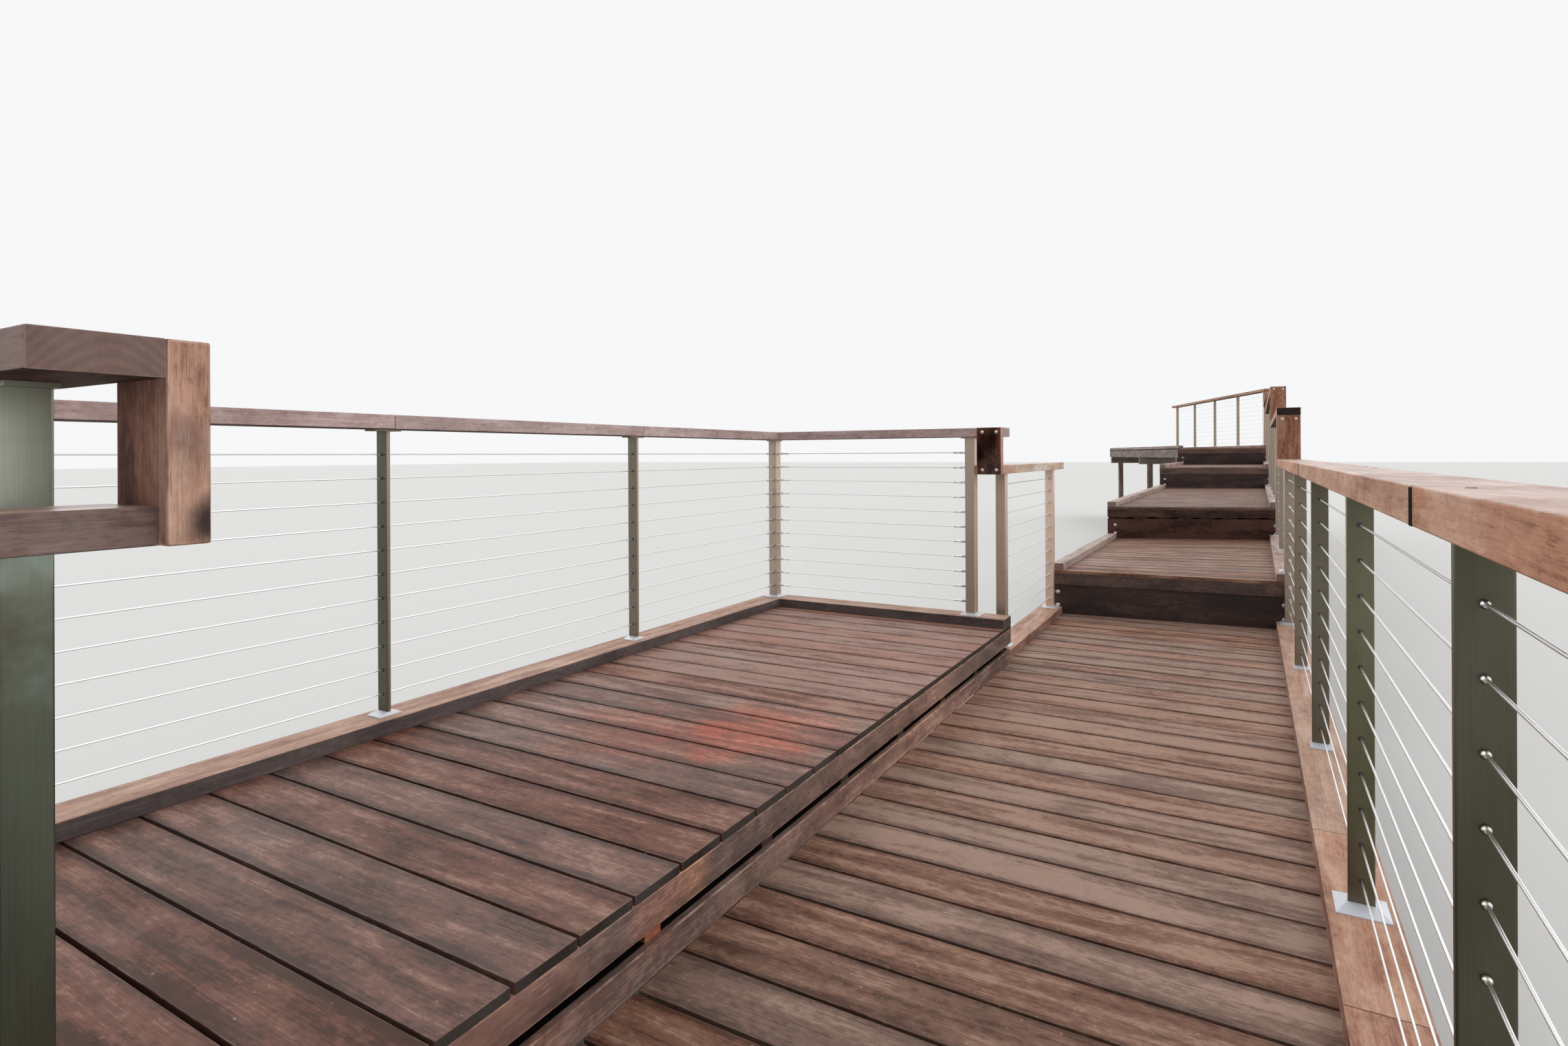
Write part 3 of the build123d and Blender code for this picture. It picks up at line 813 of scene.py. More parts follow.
def build_brush_group() -> bpy.types.NodeTree:
    """Brushed stainless steel: fine lines, soft clouds, finger marks and a painted reflection.

    Returns:
        The group, with Color, Rough and Height outputs.
    """
    grease = (0.09, 0.062, 0.045)
    n, given, out = new_group(
        "brushed_steel",
        (
            ("Spot", VECTOR, None),
            ("Dull", COLOR, (0.10, 0.095, 0.07, 1.0)),
            ("Clear", COLOR, (0.16, 0.15, 0.12, 1.0)),
            ("Bright", COLOR, (0.88, 0.70, 0.58, 1.0)),
            ("Tone", FLOAT, 0.0),
            ("Lines", VECTOR, (900.0, 900.0, 9.0)),
            ("Stain", FLOAT, 0.3),
        ),
        SURFACE_OUTPUTS,
    )
    spot = given["Spot"]
    lines = n.noise(n.vector("MULTIPLY", spot, given["Lines"]), detail=4.0, rough=0.7)
    clouds = n.noise(spot, 4.2, warp=0.3, stretch=(1.0, 1.0, 0.55))
    marks = n.noise(spot, 19.0, detail=4.0, rough=0.6, warp=0.8, stretch=(1.0, 1.0, 0.7))
    marks = n.math("MULTIPLY", n.span(marks, 0.56, 0.74), given["Stain"])
    level = n.total(0.0, (clouds, 1.3), (lines, 0.5))
    color = n.mix(n.span(level, 0.62, 1.2), given["Dull"], given["Clear"])
    # Painted reflection: the tone mixes in the colour of the surroundings
    color = n.mix(given["Tone"], color, given["Bright"])
    n.fill(out, {
        "Color": n.mix(n.math("MULTIPLY", marks, 0.5), color, grease),
        "Rough": n.total(0.0, (lines, 0.14), (marks, 0.2)),
        "Height": lines,
    })
    return n.tree


def build_spill_group() -> bpy.types.NodeTree:
    """One patch on a surface that lifts or dims its colour, soft and broken at its edge.

    Returns:
        The group, with a Color output.
    """
    n, given, out = new_group(
        "spill",
        (
            ("Color", COLOR, (0.2, 0.1, 0.08, 1.0)),
            ("Spot", VECTOR, None),
            ("Center", VECTOR, (0.0, 0.0, 0.0)),
            ("Reach", FLOAT, 0.4),
            ("Gain", COLOR, (1.0, 1.0, 1.0, 1.0)),
        ),
        (("Color", COLOR),),
    )
    away = n.vector("DISTANCE", given["Spot"], given["Center"], output="Value")
    rag = n.centred(n.noise(given["Spot"], 7.0, detail=4.0, rough=0.6))
    share = n.total(n.math("DIVIDE", away, given["Reach"]), (rag, 1.2))
    lifted = n.vector("MULTIPLY", given["Color"], given["Gain"])
    n.fill(out, {"Color": n.mix(n.span(share, 1.0, 0.2), given["Color"], lifted)})
    return n.tree


class Groups:
    """The shared effects, each built once."""

    def __init__(self) -> None:
        """Builds the four effects."""
        self.grain = build_grain_group()
        self.weather = build_weather_group()
        self.brush = build_brush_group()
        self.spill = build_spill_group()


@dataclass(frozen=True)
class Spill:
    """One patch: its middle in the row frame, how far it reaches, and what it does to each colour channel."""

    center: Size
    reach: float
    gain: Color


def new_material(name: str) -> tuple[Material, Nodes, bpy.types.Node]:
    """Starts a material.

    Args:
        name: The material's name.

    Returns:
        The material, its node helper and its Principled BSDF.
    """
    material = bpy.data.materials.new(name)
    material.use_nodes = True
    material.node_tree.nodes.clear()
    n = Nodes(material.node_tree)
    shader = n.add("ShaderNodeBsdfPrincipled")
    n.fill(n.add("ShaderNodeOutputMaterial"), {"Surface": shader.outputs[0]})
    return material, n, shader


def spill_over(n: Nodes, groups: Groups, spills: Sequence[Spill], color: Socket, spot: Socket) -> Socket:
    """Lays patches over a colour.

    Args:
        n: The material's node helper.
        groups: The shared effects.
        spills: The patches.
        color: The colour under them.
        spot: Where the shaded point is.

    Returns:
        The changed colour.
    """
    for spill in spills:
        color = n.effect(groups.spill, {
            "Color": color, "Spot": spot, "Center": spill.center, "Reach": spill.reach, "Gain": spill.gain,
        }).outputs["Color"]
    return color


@dataclass(frozen=True)
class TimberFinish:
    """One kind of weathered hardwood, with its colours, how the weather shows on it, and patches that lift or
    dim its colour, some of them painted light and shade.
    """

    name: str
    dark: Color
    middle: Color
    light: Color
    worn: Color
    figure: float = 0.35
    pores: float = 0.6
    wear: float = 0.6
    grey: float = 0.4
    marks: float = 0.4
    specks: float = 0.3
    rough: float = 0.52
    gloss: float = 0.5
    bump: float = 0.8
    relief: float = 0.0006
    edge: float = 10.0
    bleach: float = 0.0
    spills: tuple[Spill, ...] = ()

    def material(self, groups: Groups) -> Material:
        """Builds the finish.

        Args:
            groups: The shared effects.

        Returns:
            The material, which reads the notes on each timber.
        """
        material, n, shader = new_material(self.name)
        spot = n.spot()
        grain = n.effect(groups.grain, {
            "Place": n.note(PLACE, "Vector"), "Tone": n.note(TONE_AND_LIGHT), "Hue": n.note(HUE), "End": n.note(END),
            "Dark": self.dark, "Middle": self.middle, "Light": self.light, "Figure": self.figure,
            "Pores": self.pores, "Edge": self.edge,
        })
        weather = n.effect(groups.weather, {
            "Color": grain.outputs["Color"], "Spot": spot, "Arris": n.note(ARRIS), "Worn": self.worn,
            "Wear": self.wear, "Grey": self.grey, "Marks": self.marks, "Specks": self.specks,
            "Bleach": self.bleach,
        })
        rough = n.math("ADD", grain.outputs["Rough"], weather.outputs["Rough"])
        height = n.math("ADD", grain.outputs["Height"], weather.outputs["Height"])
        n.fill(shader, {
            "Base Color": spill_over(n, groups, self.spills, weather.outputs["Color"], spot),
            "Roughness": n.math("ADD", rough, self.rough, clamp=True),
            "Normal": n.bump(height, self.bump, self.relief),
            "Specular IOR Level": self.gloss,
        })
        return material


@dataclass(frozen=True)
class SteelFinish:
    """One kind of stainless steel, with a painted reflection from the tone note and from patches."""

    name: str
    dull: Color
    clear: Color
    # The colour of the surroundings that the painted reflection mixes in
    bright: Color = (0.88, 0.70, 0.58)
    lines: Size = (900.0, 900.0, 9.0)
    stain: float = 0.3
    rough: float = 0.3
    metallic: float = 1.0
    sheen: float = 0.5
    bump: float = 0.5
    relief: float = 0.0001
    spills: tuple[Spill, ...] = ()

    def material(self, groups: Groups) -> Material:
        """Builds the finish.

        Args:
            groups: The shared effects.

        Returns:
            The material, which reads the painted reflection of each part.
        """
        material, n, shader = new_material(self.name)
        spot = n.spot()
        brush = n.effect(groups.brush, {
            "Spot": spot, "Dull": self.dull, "Clear": self.clear, "Bright": self.bright, "Tone": n.note(TONE_AND_LIGHT),
            "Lines": self.lines, "Stain": self.stain,
        })
        n.fill(shader, {
            "Base Color": spill_over(n, groups, self.spills, brush.outputs["Color"], spot),
            "Roughness": n.math("ADD", brush.outputs["Rough"], self.rough, clamp=True),
            "Normal": n.bump(brush.outputs["Height"], self.bump, self.relief),
            "Metallic": self.metallic,
            "Specular IOR Level": self.sheen,
        })
        return material


@dataclass(frozen=True)
class RopeFinish:
    """Stainless wire rope, with the lay of its strands across it."""

    name: str
    # The grooves between the strands are darker: painted shade
    groove_shade: Color
    strand: Color
    lay: float = 0.0085
    slant: float = 2.2
    rough: float = 0.28
    groove_rough: float = 0.08
    bump: float = 0.6
    relief: float = 0.0003

    def material(self) -> Material:
        """Builds the finish.

        Returns:
            The material, with slanting bands that run round each rope.
        """
        material, n, shader = new_material(self.name)
        x, y, z = n.split(n.spot())
        turns = n.math("MULTIPLY", n.total(n.math("ADD", x, y), (z, self.slant)), 2.0 * math.pi / self.lay)
        lay = n.math("ABSOLUTE", n.math("SINE", turns))
        n.fill(shader, {
            "Base Color": n.mix(n.span(lay, 0.05, 0.5), self.groove_shade, self.strand),
            "Normal": n.bump(lay, self.bump, self.relief),
            "Roughness": n.total(self.rough + self.groove_rough, (lay, -self.groove_rough)),
            "Metallic": 1.0,
        })
        return material


class Finishes:
    """All finishes of the deck stairs."""

    def __init__(self) -> None:
        """Builds the shared effects and every material."""
        groups = Groups()
        self.deck = TimberFinish(
            "deck_hardwood", dark=(0.085, 0.040, 0.025), middle=(0.225, 0.122, 0.084),
            light=(0.43, 0.275, 0.205), worn=(0.40, 0.27, 0.21), wear=0.4, grey=0.10, marks=0.4, specks=0.5,
            rough=0.60, gloss=0.12, edge=0.056,
        ).material(groups)
        self.platform = TimberFinish(
            "platform_hardwood", dark=(0.062, 0.025, 0.016), middle=(0.178, 0.081, 0.057),
            light=(0.38, 0.215, 0.163), worn=(0.44, 0.28, 0.22), wear=0.45, grey=0.09, marks=0.3, specks=0.5,
            rough=0.56, gloss=0.14, edge=0.056,
            spills=(Spill((-0.86, -3.42, 0.605), 0.34, (1.9, 1.10, 0.88)),
                    Spill((-1.20, -3.60, 0.605), 0.36, (1.3, 0.95, 0.85))),
        ).material(groups)
        self.board_end = TimberFinish(
            "board_end_hardwood", dark=(0.018, 0.015, 0.013), middle=(0.055, 0.044, 0.038),
            light=(0.12, 0.09, 0.075), worn=(0.20, 0.14, 0.11), wear=0.4, grey=0.3, marks=0.4, specks=0.2,
            rough=0.75, gloss=0.03,
        ).material(groups)
        self.kerb = TimberFinish(
            "kerb_hardwood", dark=(0.30, 0.135, 0.085), middle=(0.52, 0.295, 0.200), light=(0.66, 0.43, 0.32),
            worn=(0.64, 0.48, 0.41), wear=0.5, grey=0.14, marks=0.35, specks=0.3, rough=0.58, gloss=0.25,
        ).material(groups)
        # Upright faces of the platform kerbs: a darker copy of the kerb finish, painted shade
        self.kerb_side_shaded = TimberFinish(
            "kerb_side_shaded_hardwood", dark=(0.055, 0.036, 0.035), middle=(0.105, 0.075, 0.073),
            light=(0.20, 0.145, 0.14), worn=(0.40, 0.29, 0.25), wear=0.6, grey=0.2, marks=0.4, specks=0.2,
            rough=0.6, gloss=0.12,
        ).material(groups)
        # Upright faces of the walkway kerbs: a darker copy of the kerb finish, painted shade, with pale worn
        # arrises
        self.kerb_face_shaded = TimberFinish(
            "kerb_face_shaded_hardwood", dark=(0.13, 0.065, 0.047), middle=(0.28, 0.155, 0.115),
            light=(0.43, 0.275, 0.215), worn=(0.62, 0.44, 0.36), wear=0.8, grey=0.1, marks=0.3, specks=0.2,
            rough=0.6, gloss=0.12,
        ).material(groups)
        self.step_kerb = TimberFinish(
            "step_kerb_hardwood", dark=(0.19, 0.12, 0.10), middle=(0.34, 0.25, 0.22),
            light=(0.54, 0.43, 0.39), worn=(0.60, 0.50, 0.46), wear=0.6, grey=0.2, marks=0.3, specks=0.2,
            rough=0.6, gloss=0.2,
        ).material(groups)
        # The patch pales the far left handrail near the steps: painted sheen
        self.rail = TimberFinish(
            "rail_hardwood", dark=(0.24, 0.115, 0.076), middle=(0.40, 0.235, 0.175),
            light=(0.52, 0.345, 0.27), worn=(0.64, 0.49, 0.43), wear=0.45, grey=0.12, marks=0.25, specks=0.15,
            rough=0.42, gloss=0.4,
            spills=(Spill((-0.66, -0.70, 1.39), 1.1, (1.35, 1.85, 2.25)),),
        ).material(groups)
        # Upright faces of the rails: less gloss and a brighter, more orange colour, painted light; the first
        # patch is painted sheen, the second painted shade at the near left end
        self.rail_side = TimberFinish(
            "rail_side_hardwood", dark=(0.29, 0.132, 0.074), middle=(0.52, 0.272, 0.168),
            light=(0.68, 0.43, 0.30), worn=(0.68, 0.50, 0.42), wear=0.5, grey=0.08, marks=0.3, specks=0.1,
            rough=0.6, gloss=0.15, bleach=0.25,
            spills=(Spill((-0.66, -0.70, 1.39), 1.1, (1.20, 1.75, 2.20)),
                    Spill((-0.60, -5.30, 1.38), 0.6, (0.48, 0.57, 0.72))),
        ).material(groups)
        # Undersides of the rails: near black, painted shade
        self.rail_underside_shade = TimberFinish(
            "rail_underside_painted_shade", dark=(0.020, 0.012, 0.010), middle=(0.055, 0.032, 0.026),
            light=(0.11, 0.07, 0.055), worn=(0.2, 0.13, 0.1), wear=0.3, grey=0.1, marks=0.4, specks=0.1,
            rough=0.8, gloss=0.03,
        ).material(groups)
        # Platform rails: pale from weathering and from painted sheen
        self.weathered_sheen_rail = TimberFinish(
            "weathered_sheen_rail_hardwood", dark=(0.27, 0.18, 0.16), middle=(0.44, 0.31, 0.285),
            light=(0.60, 0.46, 0.44), worn=(0.66, 0.54, 0.50), wear=0.5, grey=0.1, marks=0.25, specks=0.15,
            rough=0.5, gloss=0.4,
        ).material(groups)
        # Their upright faces: a paler copy, painted light; the patch is painted shade over the near end
        self.weathered_sheen_rail_side = TimberFinish(
            "weathered_sheen_rail_side_hardwood", dark=(0.27, 0.18, 0.165), middle=(0.54, 0.395, 0.375),
            light=(0.74, 0.58, 0.56), worn=(0.72, 0.58, 0.54), wear=0.5, grey=0.1, marks=0.35, specks=0.15,
            rough=0.6, gloss=0.15,
            spills=(Spill((-0.85, -5.22, 1.56), 1.6, (0.50, 0.455, 0.42)),),
        ).material(groups)
        # Faces along Y of the joining boards: darker than their sides, painted shade; the patches are painted
        # shadow at the boards' tops under the rails
        self.joining = TimberFinish(
            "joining_board_hardwood", dark=(0.110, 0.040, 0.024), middle=(0.30, 0.125, 0.080),
            light=(0.50, 0.29, 0.205), worn=(0.66, 0.46, 0.37), figure=0.3, wear=0.5, grey=0.0, marks=0.3,
            specks=0.1, rough=0.6, gloss=0.04,
            spills=(Spill((-0.65, -1.62, 1.52), 0.10, (0.15, 0.13, 0.13)),
                    Spill((-0.70, -1.62, 1.46), 0.07, (0.10, 0.10, 0.10)),
                    Spill((-0.64, -1.62, 1.39), 0.14, (0.42, 0.50, 0.60)),
                    Spill((-0.66, -5.10, 1.58), 0.12, (0.35, 0.33, 0.34))),
        ).material(groups)
        # Sides of the joining boards: a paler copy, painted light; the two small patches darken spots near
        # the rail
        self.joining_side = TimberFinish(
            "joining_board_side_hardwood", dark=(0.32, 0.155, 0.095), middle=(0.60, 0.325, 0.225),
            light=(0.78, 0.50, 0.37), worn=(0.78, 0.54, 0.42), figure=0.3, wear=0.5, grey=0.0, marks=0.3,
            specks=0.1, rough=0.55, gloss=0.12, bleach=0.2,
            spills=(Spill((-0.58, -5.050, 1.385), 0.036, (0.10, 0.12, 0.16)),
                    Spill((-0.58, -5.080, 1.48), 0.040, (0.55, 0.55, 0.58))),
        ).material(groups)
        self.front = TimberFinish(
            "platform_front_hardwood", dark=(0.070, 0.036, 0.028), middle=(0.165, 0.098, 0.080),
            light=(0.36, 0.235, 0.195), worn=(0.52, 0.36, 0.29), wear=1.0, grey=0.2, marks=0.4, specks=0.25,
            rough=0.6, gloss=0.12, bleach=0.35,
            spills=(Spill((-0.580, -4.119, 0.554), 0.075, (2.1, 1.65, 1.3)),
                    Spill((-0.580, -4.25, 0.540), 0.11, (1.5, 1.15, 1.05)),
                    Spill((-0.580, -4.70, 0.550), 0.30, (1.3, 1.05, 1.0)),
                    Spill((-0.580, -2.90, 0.550), 1.2, (1.6, 1.45, 1.35))),
        ).material(groups)
        self.riser = TimberFinish(
            "riser_hardwood", dark=(0.014, 0.006, 0.004), middle=(0.046, 0.020, 0.014),
            light=(0.12, 0.06, 0.045), worn=(0.16, 0.10, 0.08), wear=0.4, grey=0.04, marks=0.4, specks=0.12,
            rough=0.6, gloss=0.08,
        ).material(groups)
        self.fascia = TimberFinish(
            "fascia_hardwood", dark=(0.030, 0.015, 0.012), middle=(0.086, 0.046, 0.036),
            light=(0.19, 0.115, 0.09), worn=(0.32, 0.22, 0.185), wear=0.7, grey=0.12, marks=0.35, specks=0.15,
            rough=0.58, gloss=0.12,
        ).material(groups)
        self.frame = TimberFinish(
            "frame_hardwood", dark=(0.060, 0.038, 0.028), middle=(0.135, 0.092, 0.070),
            light=(0.23, 0.17, 0.135), worn=(0.28, 0.21, 0.17), figure=0.5, pores=0.8, wear=0.3, grey=0.5,
            marks=0.5, specks=0.2, rough=0.72, relief=0.0012,
        ).material(groups)
        self.packer = TimberFinish(
            "packer_offcuts", dark=(0.20, 0.045, 0.012), middle=(0.42, 0.11, 0.028), light=(0.55, 0.19, 0.07),
            worn=(0.6, 0.32, 0.2), grey=0.05, marks=0.3, specks=0.1, rough=0.6,
        ).material(groups)
        # The patches brighten the near left post's top and middle and the second post on the right: painted
        # reflection
        self.post = SteelFinish(
            "satin_post_steel", dull=(0.088, 0.085, 0.058), clear=(0.130, 0.126, 0.092), rough=0.34,
            stain=0.35,
            spills=(Spill((-0.767, -5.16, 1.56), 0.40, (3.4, 3.8, 4.5)),
                    Spill((-0.767, -5.16, 0.90), 0.55, (1.12, 1.32, 1.40)),
                    Spill((0.662, -3.385, 0.90), 0.80, (1.30, 1.32, 1.18))),
        ).material(groups)
        # A pale, barely metallic colour in place of the plates' reflection of the sky: painted reflection
        self.plate = SteelFinish(
            "plate_steel_painted_reflection", dull=(0.60, 0.62, 0.68), clear=(0.76, 0.79, 0.86),
            lines=(60.0, 700.0, 700.0), rough=0.40, stain=0.12, metallic=0.3,
        ).material(groups)
        self.fitting = SteelFinish(
            "fitting_steel", dull=(0.52, 0.51, 0.48), clear=(0.74, 0.73, 0.70), lines=(500.0, 500.0, 500.0),
            rough=0.2, stain=0.1,
        ).material(groups)
        self.bolt = SteelFinish(
            "bolt_steel", dull=(0.46, 0.44, 0.42), clear=(0.66, 0.64, 0.62), lines=(400.0, 400.0, 400.0),
            stain=0.25,
        ).material(groups)
        self.plug = SteelFinish(
            "dark_plug", dull=(0.02, 0.012, 0.01), clear=(0.05, 0.032, 0.026), rough=0.5, metallic=0.0,
        ).material(groups)
        # Near black with little sheen, for the boxes that paint the shade in open joints and slots
        self.shade_black = SteelFinish(
            "painted_shade_black", dull=(0.004, 0.003, 0.003), clear=(0.008, 0.006, 0.005), rough=0.8, metallic=0.0,
            stain=0.0, sheen=0.05,
        ).material(groups)
        self.rope = RopeFinish("wire_rope", groove_shade=(0.42, 0.42, 0.41), strand=(0.90, 0.91, 0.91)).material()


@dataclass
class BoardRun:
    """A deck of separate boards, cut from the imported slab."""

    name: str
    slab: str
    cuts: Cuts
    gap: float = 0.0095
    gap_play: float = 0.0006
    radius: float = 0.0018
    uneven: float = 0.0006
    seed: int = 1
    weather_and_light: WeatherAndLight = ((0.0, 0.0),)
    spread: float = 0.4
    palest: float = 0.58

    def build(self, nodes: Packed, finish: Material, end_finish: Material) -> Piece:
        """Cuts the slab at every gap and rounds each board.

        Args:
            nodes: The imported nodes.
            finish: The boards' material.
            end_finish: The material of their faces that look along X.

        Returns:
            The piece, which stands for the slab.
        """
        lumber = Lumber(self.seed)
        heap = Heap()
        slab = CadNode(nodes[self.slab]).welded()
        for (near, near_normal), (far, far_normal) in zip(self.cuts, self.cuts[1:]):
            board = self._cut(slab, near, near_normal, far, far_normal, lumber)
            if board is None:
                continue
            rounded = soften(board, self.radius)
            wood = lumber.wood(self.spread)
            # The shift of tone along Y is partly weathering and partly painted light
            wood.tone = min(wood.tone, self.palest) + weather_and_light_shift(self.weather_and_light, (near.y + far.y) / 2)
            axes = self._axes(near, near_normal, far, far_normal, board)
            heap.add_timber(board, axes, wood, rounded, ENDS_DIFFER)
            board.free()
        slab.free()
        return heap.piece(self.name, finish, end_finish)

    def _cut(
        self, slab: Solid, near: Vector, near_normal: Vector, far: Vector, far_normal: Vector, lumber: Lumber
    ) -> Solid | None:
        """Cuts one board out of the slab between two gap lines.

        Args:
            slab: The whole deck.
            near: A point on the near line.
            near_normal: The way across the near line, into the board.
            far: A point on the far line.
            far_normal: The way across the far line, out of the board.
            lumber: What picks the unevenness of gaps and boards.

        Returns:
            The board, or nothing where the slab has none.
        """
        half = self.gap / 2
        board = slab.copy()
        for point, normal in (
            (near + near_normal * (half + lumber.dice.uniform(-self.gap_play, self.gap_play)), -near_normal),
            (far - far_normal * (half + lumber.dice.uniform(-self.gap_play, self.gap_play)), far_normal),
        ):
            geometry = list(board.verts) + list(board.edges) + list(board.faces)
            cut = bmesh.ops.bisect_plane(
                board, geom=geometry, plane_co=point, plane_no=normal, clear_outer=True, dist=ON_PLANE
            )
            edges = [item for item in cut["geom_cut"] if isinstance(item, bmesh.types.BMEdge)]
            if edges:
                bmesh.ops.contextual_create(board, geom=edges)
        if not board.faces:
            board.free()
            return None
        lift = lumber.dice.uniform(-self.uneven, self.uneven)
        for vert in board.verts:
            vert.co.z += lift
        bmesh.ops.dissolve_limit(board, angle_limit=FLAT_ANGLE, verts=board.verts, edges=board.edges)
        bmesh.ops.recalc_face_normals(board, faces=board.faces)
        return board

    @staticmethod
    def _axes(near: Vector, near_normal: Vector, far: Vector, far_normal: Vector, board: Solid) -> Matrix:
        """The board's own frame.

        Args:
            near: A point on the near line.
            near_normal: The way across the near line.
            far: A point on the far line.
            far_normal: The way across the far line.
            board: The board's mesh.

        Returns:
            From the row frame to the board's frame, with X along the board.
        """
        across = (near_normal + far_normal).normalized()
        along = Vector((across.y, -across.x, 0.0))
        middle = (near + far) / 2
        middle.z = sum(vert.co.z for vert in board.verts) / len(board.verts)
        turn = Matrix((along, across, UP))
        return turn.to_4x4() @ Matrix.Translation(-middle)


def straight_cuts(start: float, end: float, pitch: float, phase: float) -> Cuts:
    """Gap lines square to Y.

    Args:
        start: The deck's first edge.
        end: Its last edge.
        pitch: From gap to gap.
        phase: Where any one gap is.

    Returns:
        A point and a normal for each line.
    """
    place = phase + math.ceil((start - phase) / pitch) * pitch
    places = [start - BEFORE_START]
    while place < end - LEAST_BOARD:
        if place > start + LEAST_BOARD:
            places.append(place)
        place += pitch
    places.append(end + PAST_END)
    return [(Vector((0.0, y, 0.0)), -TOWARD) for y in places]


def turned_cuts(near_step: int, far_step: int, turns: tuple[float, float]) -> Cuts:
    """Gap lines between two risers, turned from the first turn to the last.

    Args:
        near_step: The riser at the deck's near edge.
        far_step: The riser at its far edge.
        turns: The angle of the first and of the last line, in degrees.

    Returns:
        A point and a normal for each line.
    """
    start = RISER_PLACES[near_step]
    end = RISER_PLACES[far_step]
    count = max(1, round((end - start) * math.cos(math.radians(sum(turns) / 2)) / BOARD_PITCH))
    cuts = []
    for i in range(count + 1):
        share = i / count
        turn = math.radians(turns[0] + (turns[1] - turns[0]) * min(1.0, share * TURN_AHEAD))
        y = start + (end - start) * share
        if i == 0:
            y -= PAST_END
        if i == count:
            y += PAST_END
        normal = Vector((-math.sin(turn), math.cos(turn), 0.0))
        cuts.append((FLIGHT @ Vector((0.0, y, 0.0)), FLIGHT.to_3x3() @ normal))
    return cuts


def upper_cuts() -> Cuts:
    """Gap lines across the upper boardwalk.

    Returns:
        A point and a normal for each line.
    """
    last_step = len(RISER_PLACES) - 1
    normal = -riser_normal(last_step)
    start = FLIGHT @ Vector((0.0, RISER_PLACES[last_step], 0.0))
    gaps = [UPPER_GAP + BOARD_PITCH * i for i in range(UPPER_BOARDS)]
    places = [-PAST_END] + gaps + [UPPER_LONG + PAST_END]
    return [(start + normal * place, normal.copy()) for place in places]


@dataclass
class TimberSet:
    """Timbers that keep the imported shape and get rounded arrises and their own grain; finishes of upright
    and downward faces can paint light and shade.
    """

    name: str
    nodes: tuple[str, ...]
    radius: float = 0.0015
    segments: int = 2
    seed: int = 1
    spread: float = 1.0
    weather_and_light: WeatherAndLight = ((0.0, 0.0),)
    left_tone: float = 0.0
    odd_y: float | None = None
    odd_reach: float = 0.1
    side_axes: tuple[Axis, ...] = (Axis.X, Axis.Y)
    # Faces that look down take a near-black finish, painted shade; with dark_ends the faces along Y take it
    # too
    painted_shade_under: bool = False
    dark_ends: bool = False

    def build(
        self, nodes: Packed, finish: Material, side_finish: Material | None, under_finish: Material | None
    ) -> Piece:
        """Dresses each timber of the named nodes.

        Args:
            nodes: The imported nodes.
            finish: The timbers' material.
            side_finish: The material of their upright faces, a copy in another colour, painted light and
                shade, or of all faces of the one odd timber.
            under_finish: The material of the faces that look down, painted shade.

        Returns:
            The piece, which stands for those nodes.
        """
        lumber = Lumber(self.seed)
        heap = Heap()
        under = 0 if under_finish is None else 1 + int(side_finish is not None)
        for label in self.nodes:
            for solid in CadNode(nodes[label]).solids():
                axes = timber_axes(solid)
                middle = mean(vert.co for vert in solid.verts)
                rounded = soften(solid, self.radius, self.segments)
                wood = lumber.wood(self.spread)
                # The shift of tone along Y is partly weathering and partly painted light
                wood.tone += weather_and_light_shift(self.weather_and_light, middle.y) + (self.left_tone if middle.x < 0.0 else 0.0)
                stuff = self._stuff(middle.y, side_finish is not None, under)
                heap.add_timber(solid, axes, wood, rounded, stuff)
                solid.free()
        return heap.piece(self.name, finish, side_finish, under_finish)

    def _stuff(self, y: float, two_finishes: bool, under: int) -> tuple[int, int, int, int]:
        """Picks the material indices of one timber's faces.

        Args:
            y: Where the timber is.
            two_finishes: Whether its upright faces have their own finish.
            under: The index for the faces that look down.

        Returns:
            The indices of the faces along X and Y, and of those that look up and down.
        """
        if self.odd_y is not None:
            odd = int(abs(y - self.odd_y) < self.odd_reach)
            return odd, odd, odd, odd
        along_x, along_y = (int(two_finishes and axis in self.side_axes) for axis in Axis)
        return along_x, under if self.dark_ends else along_y, 0, under


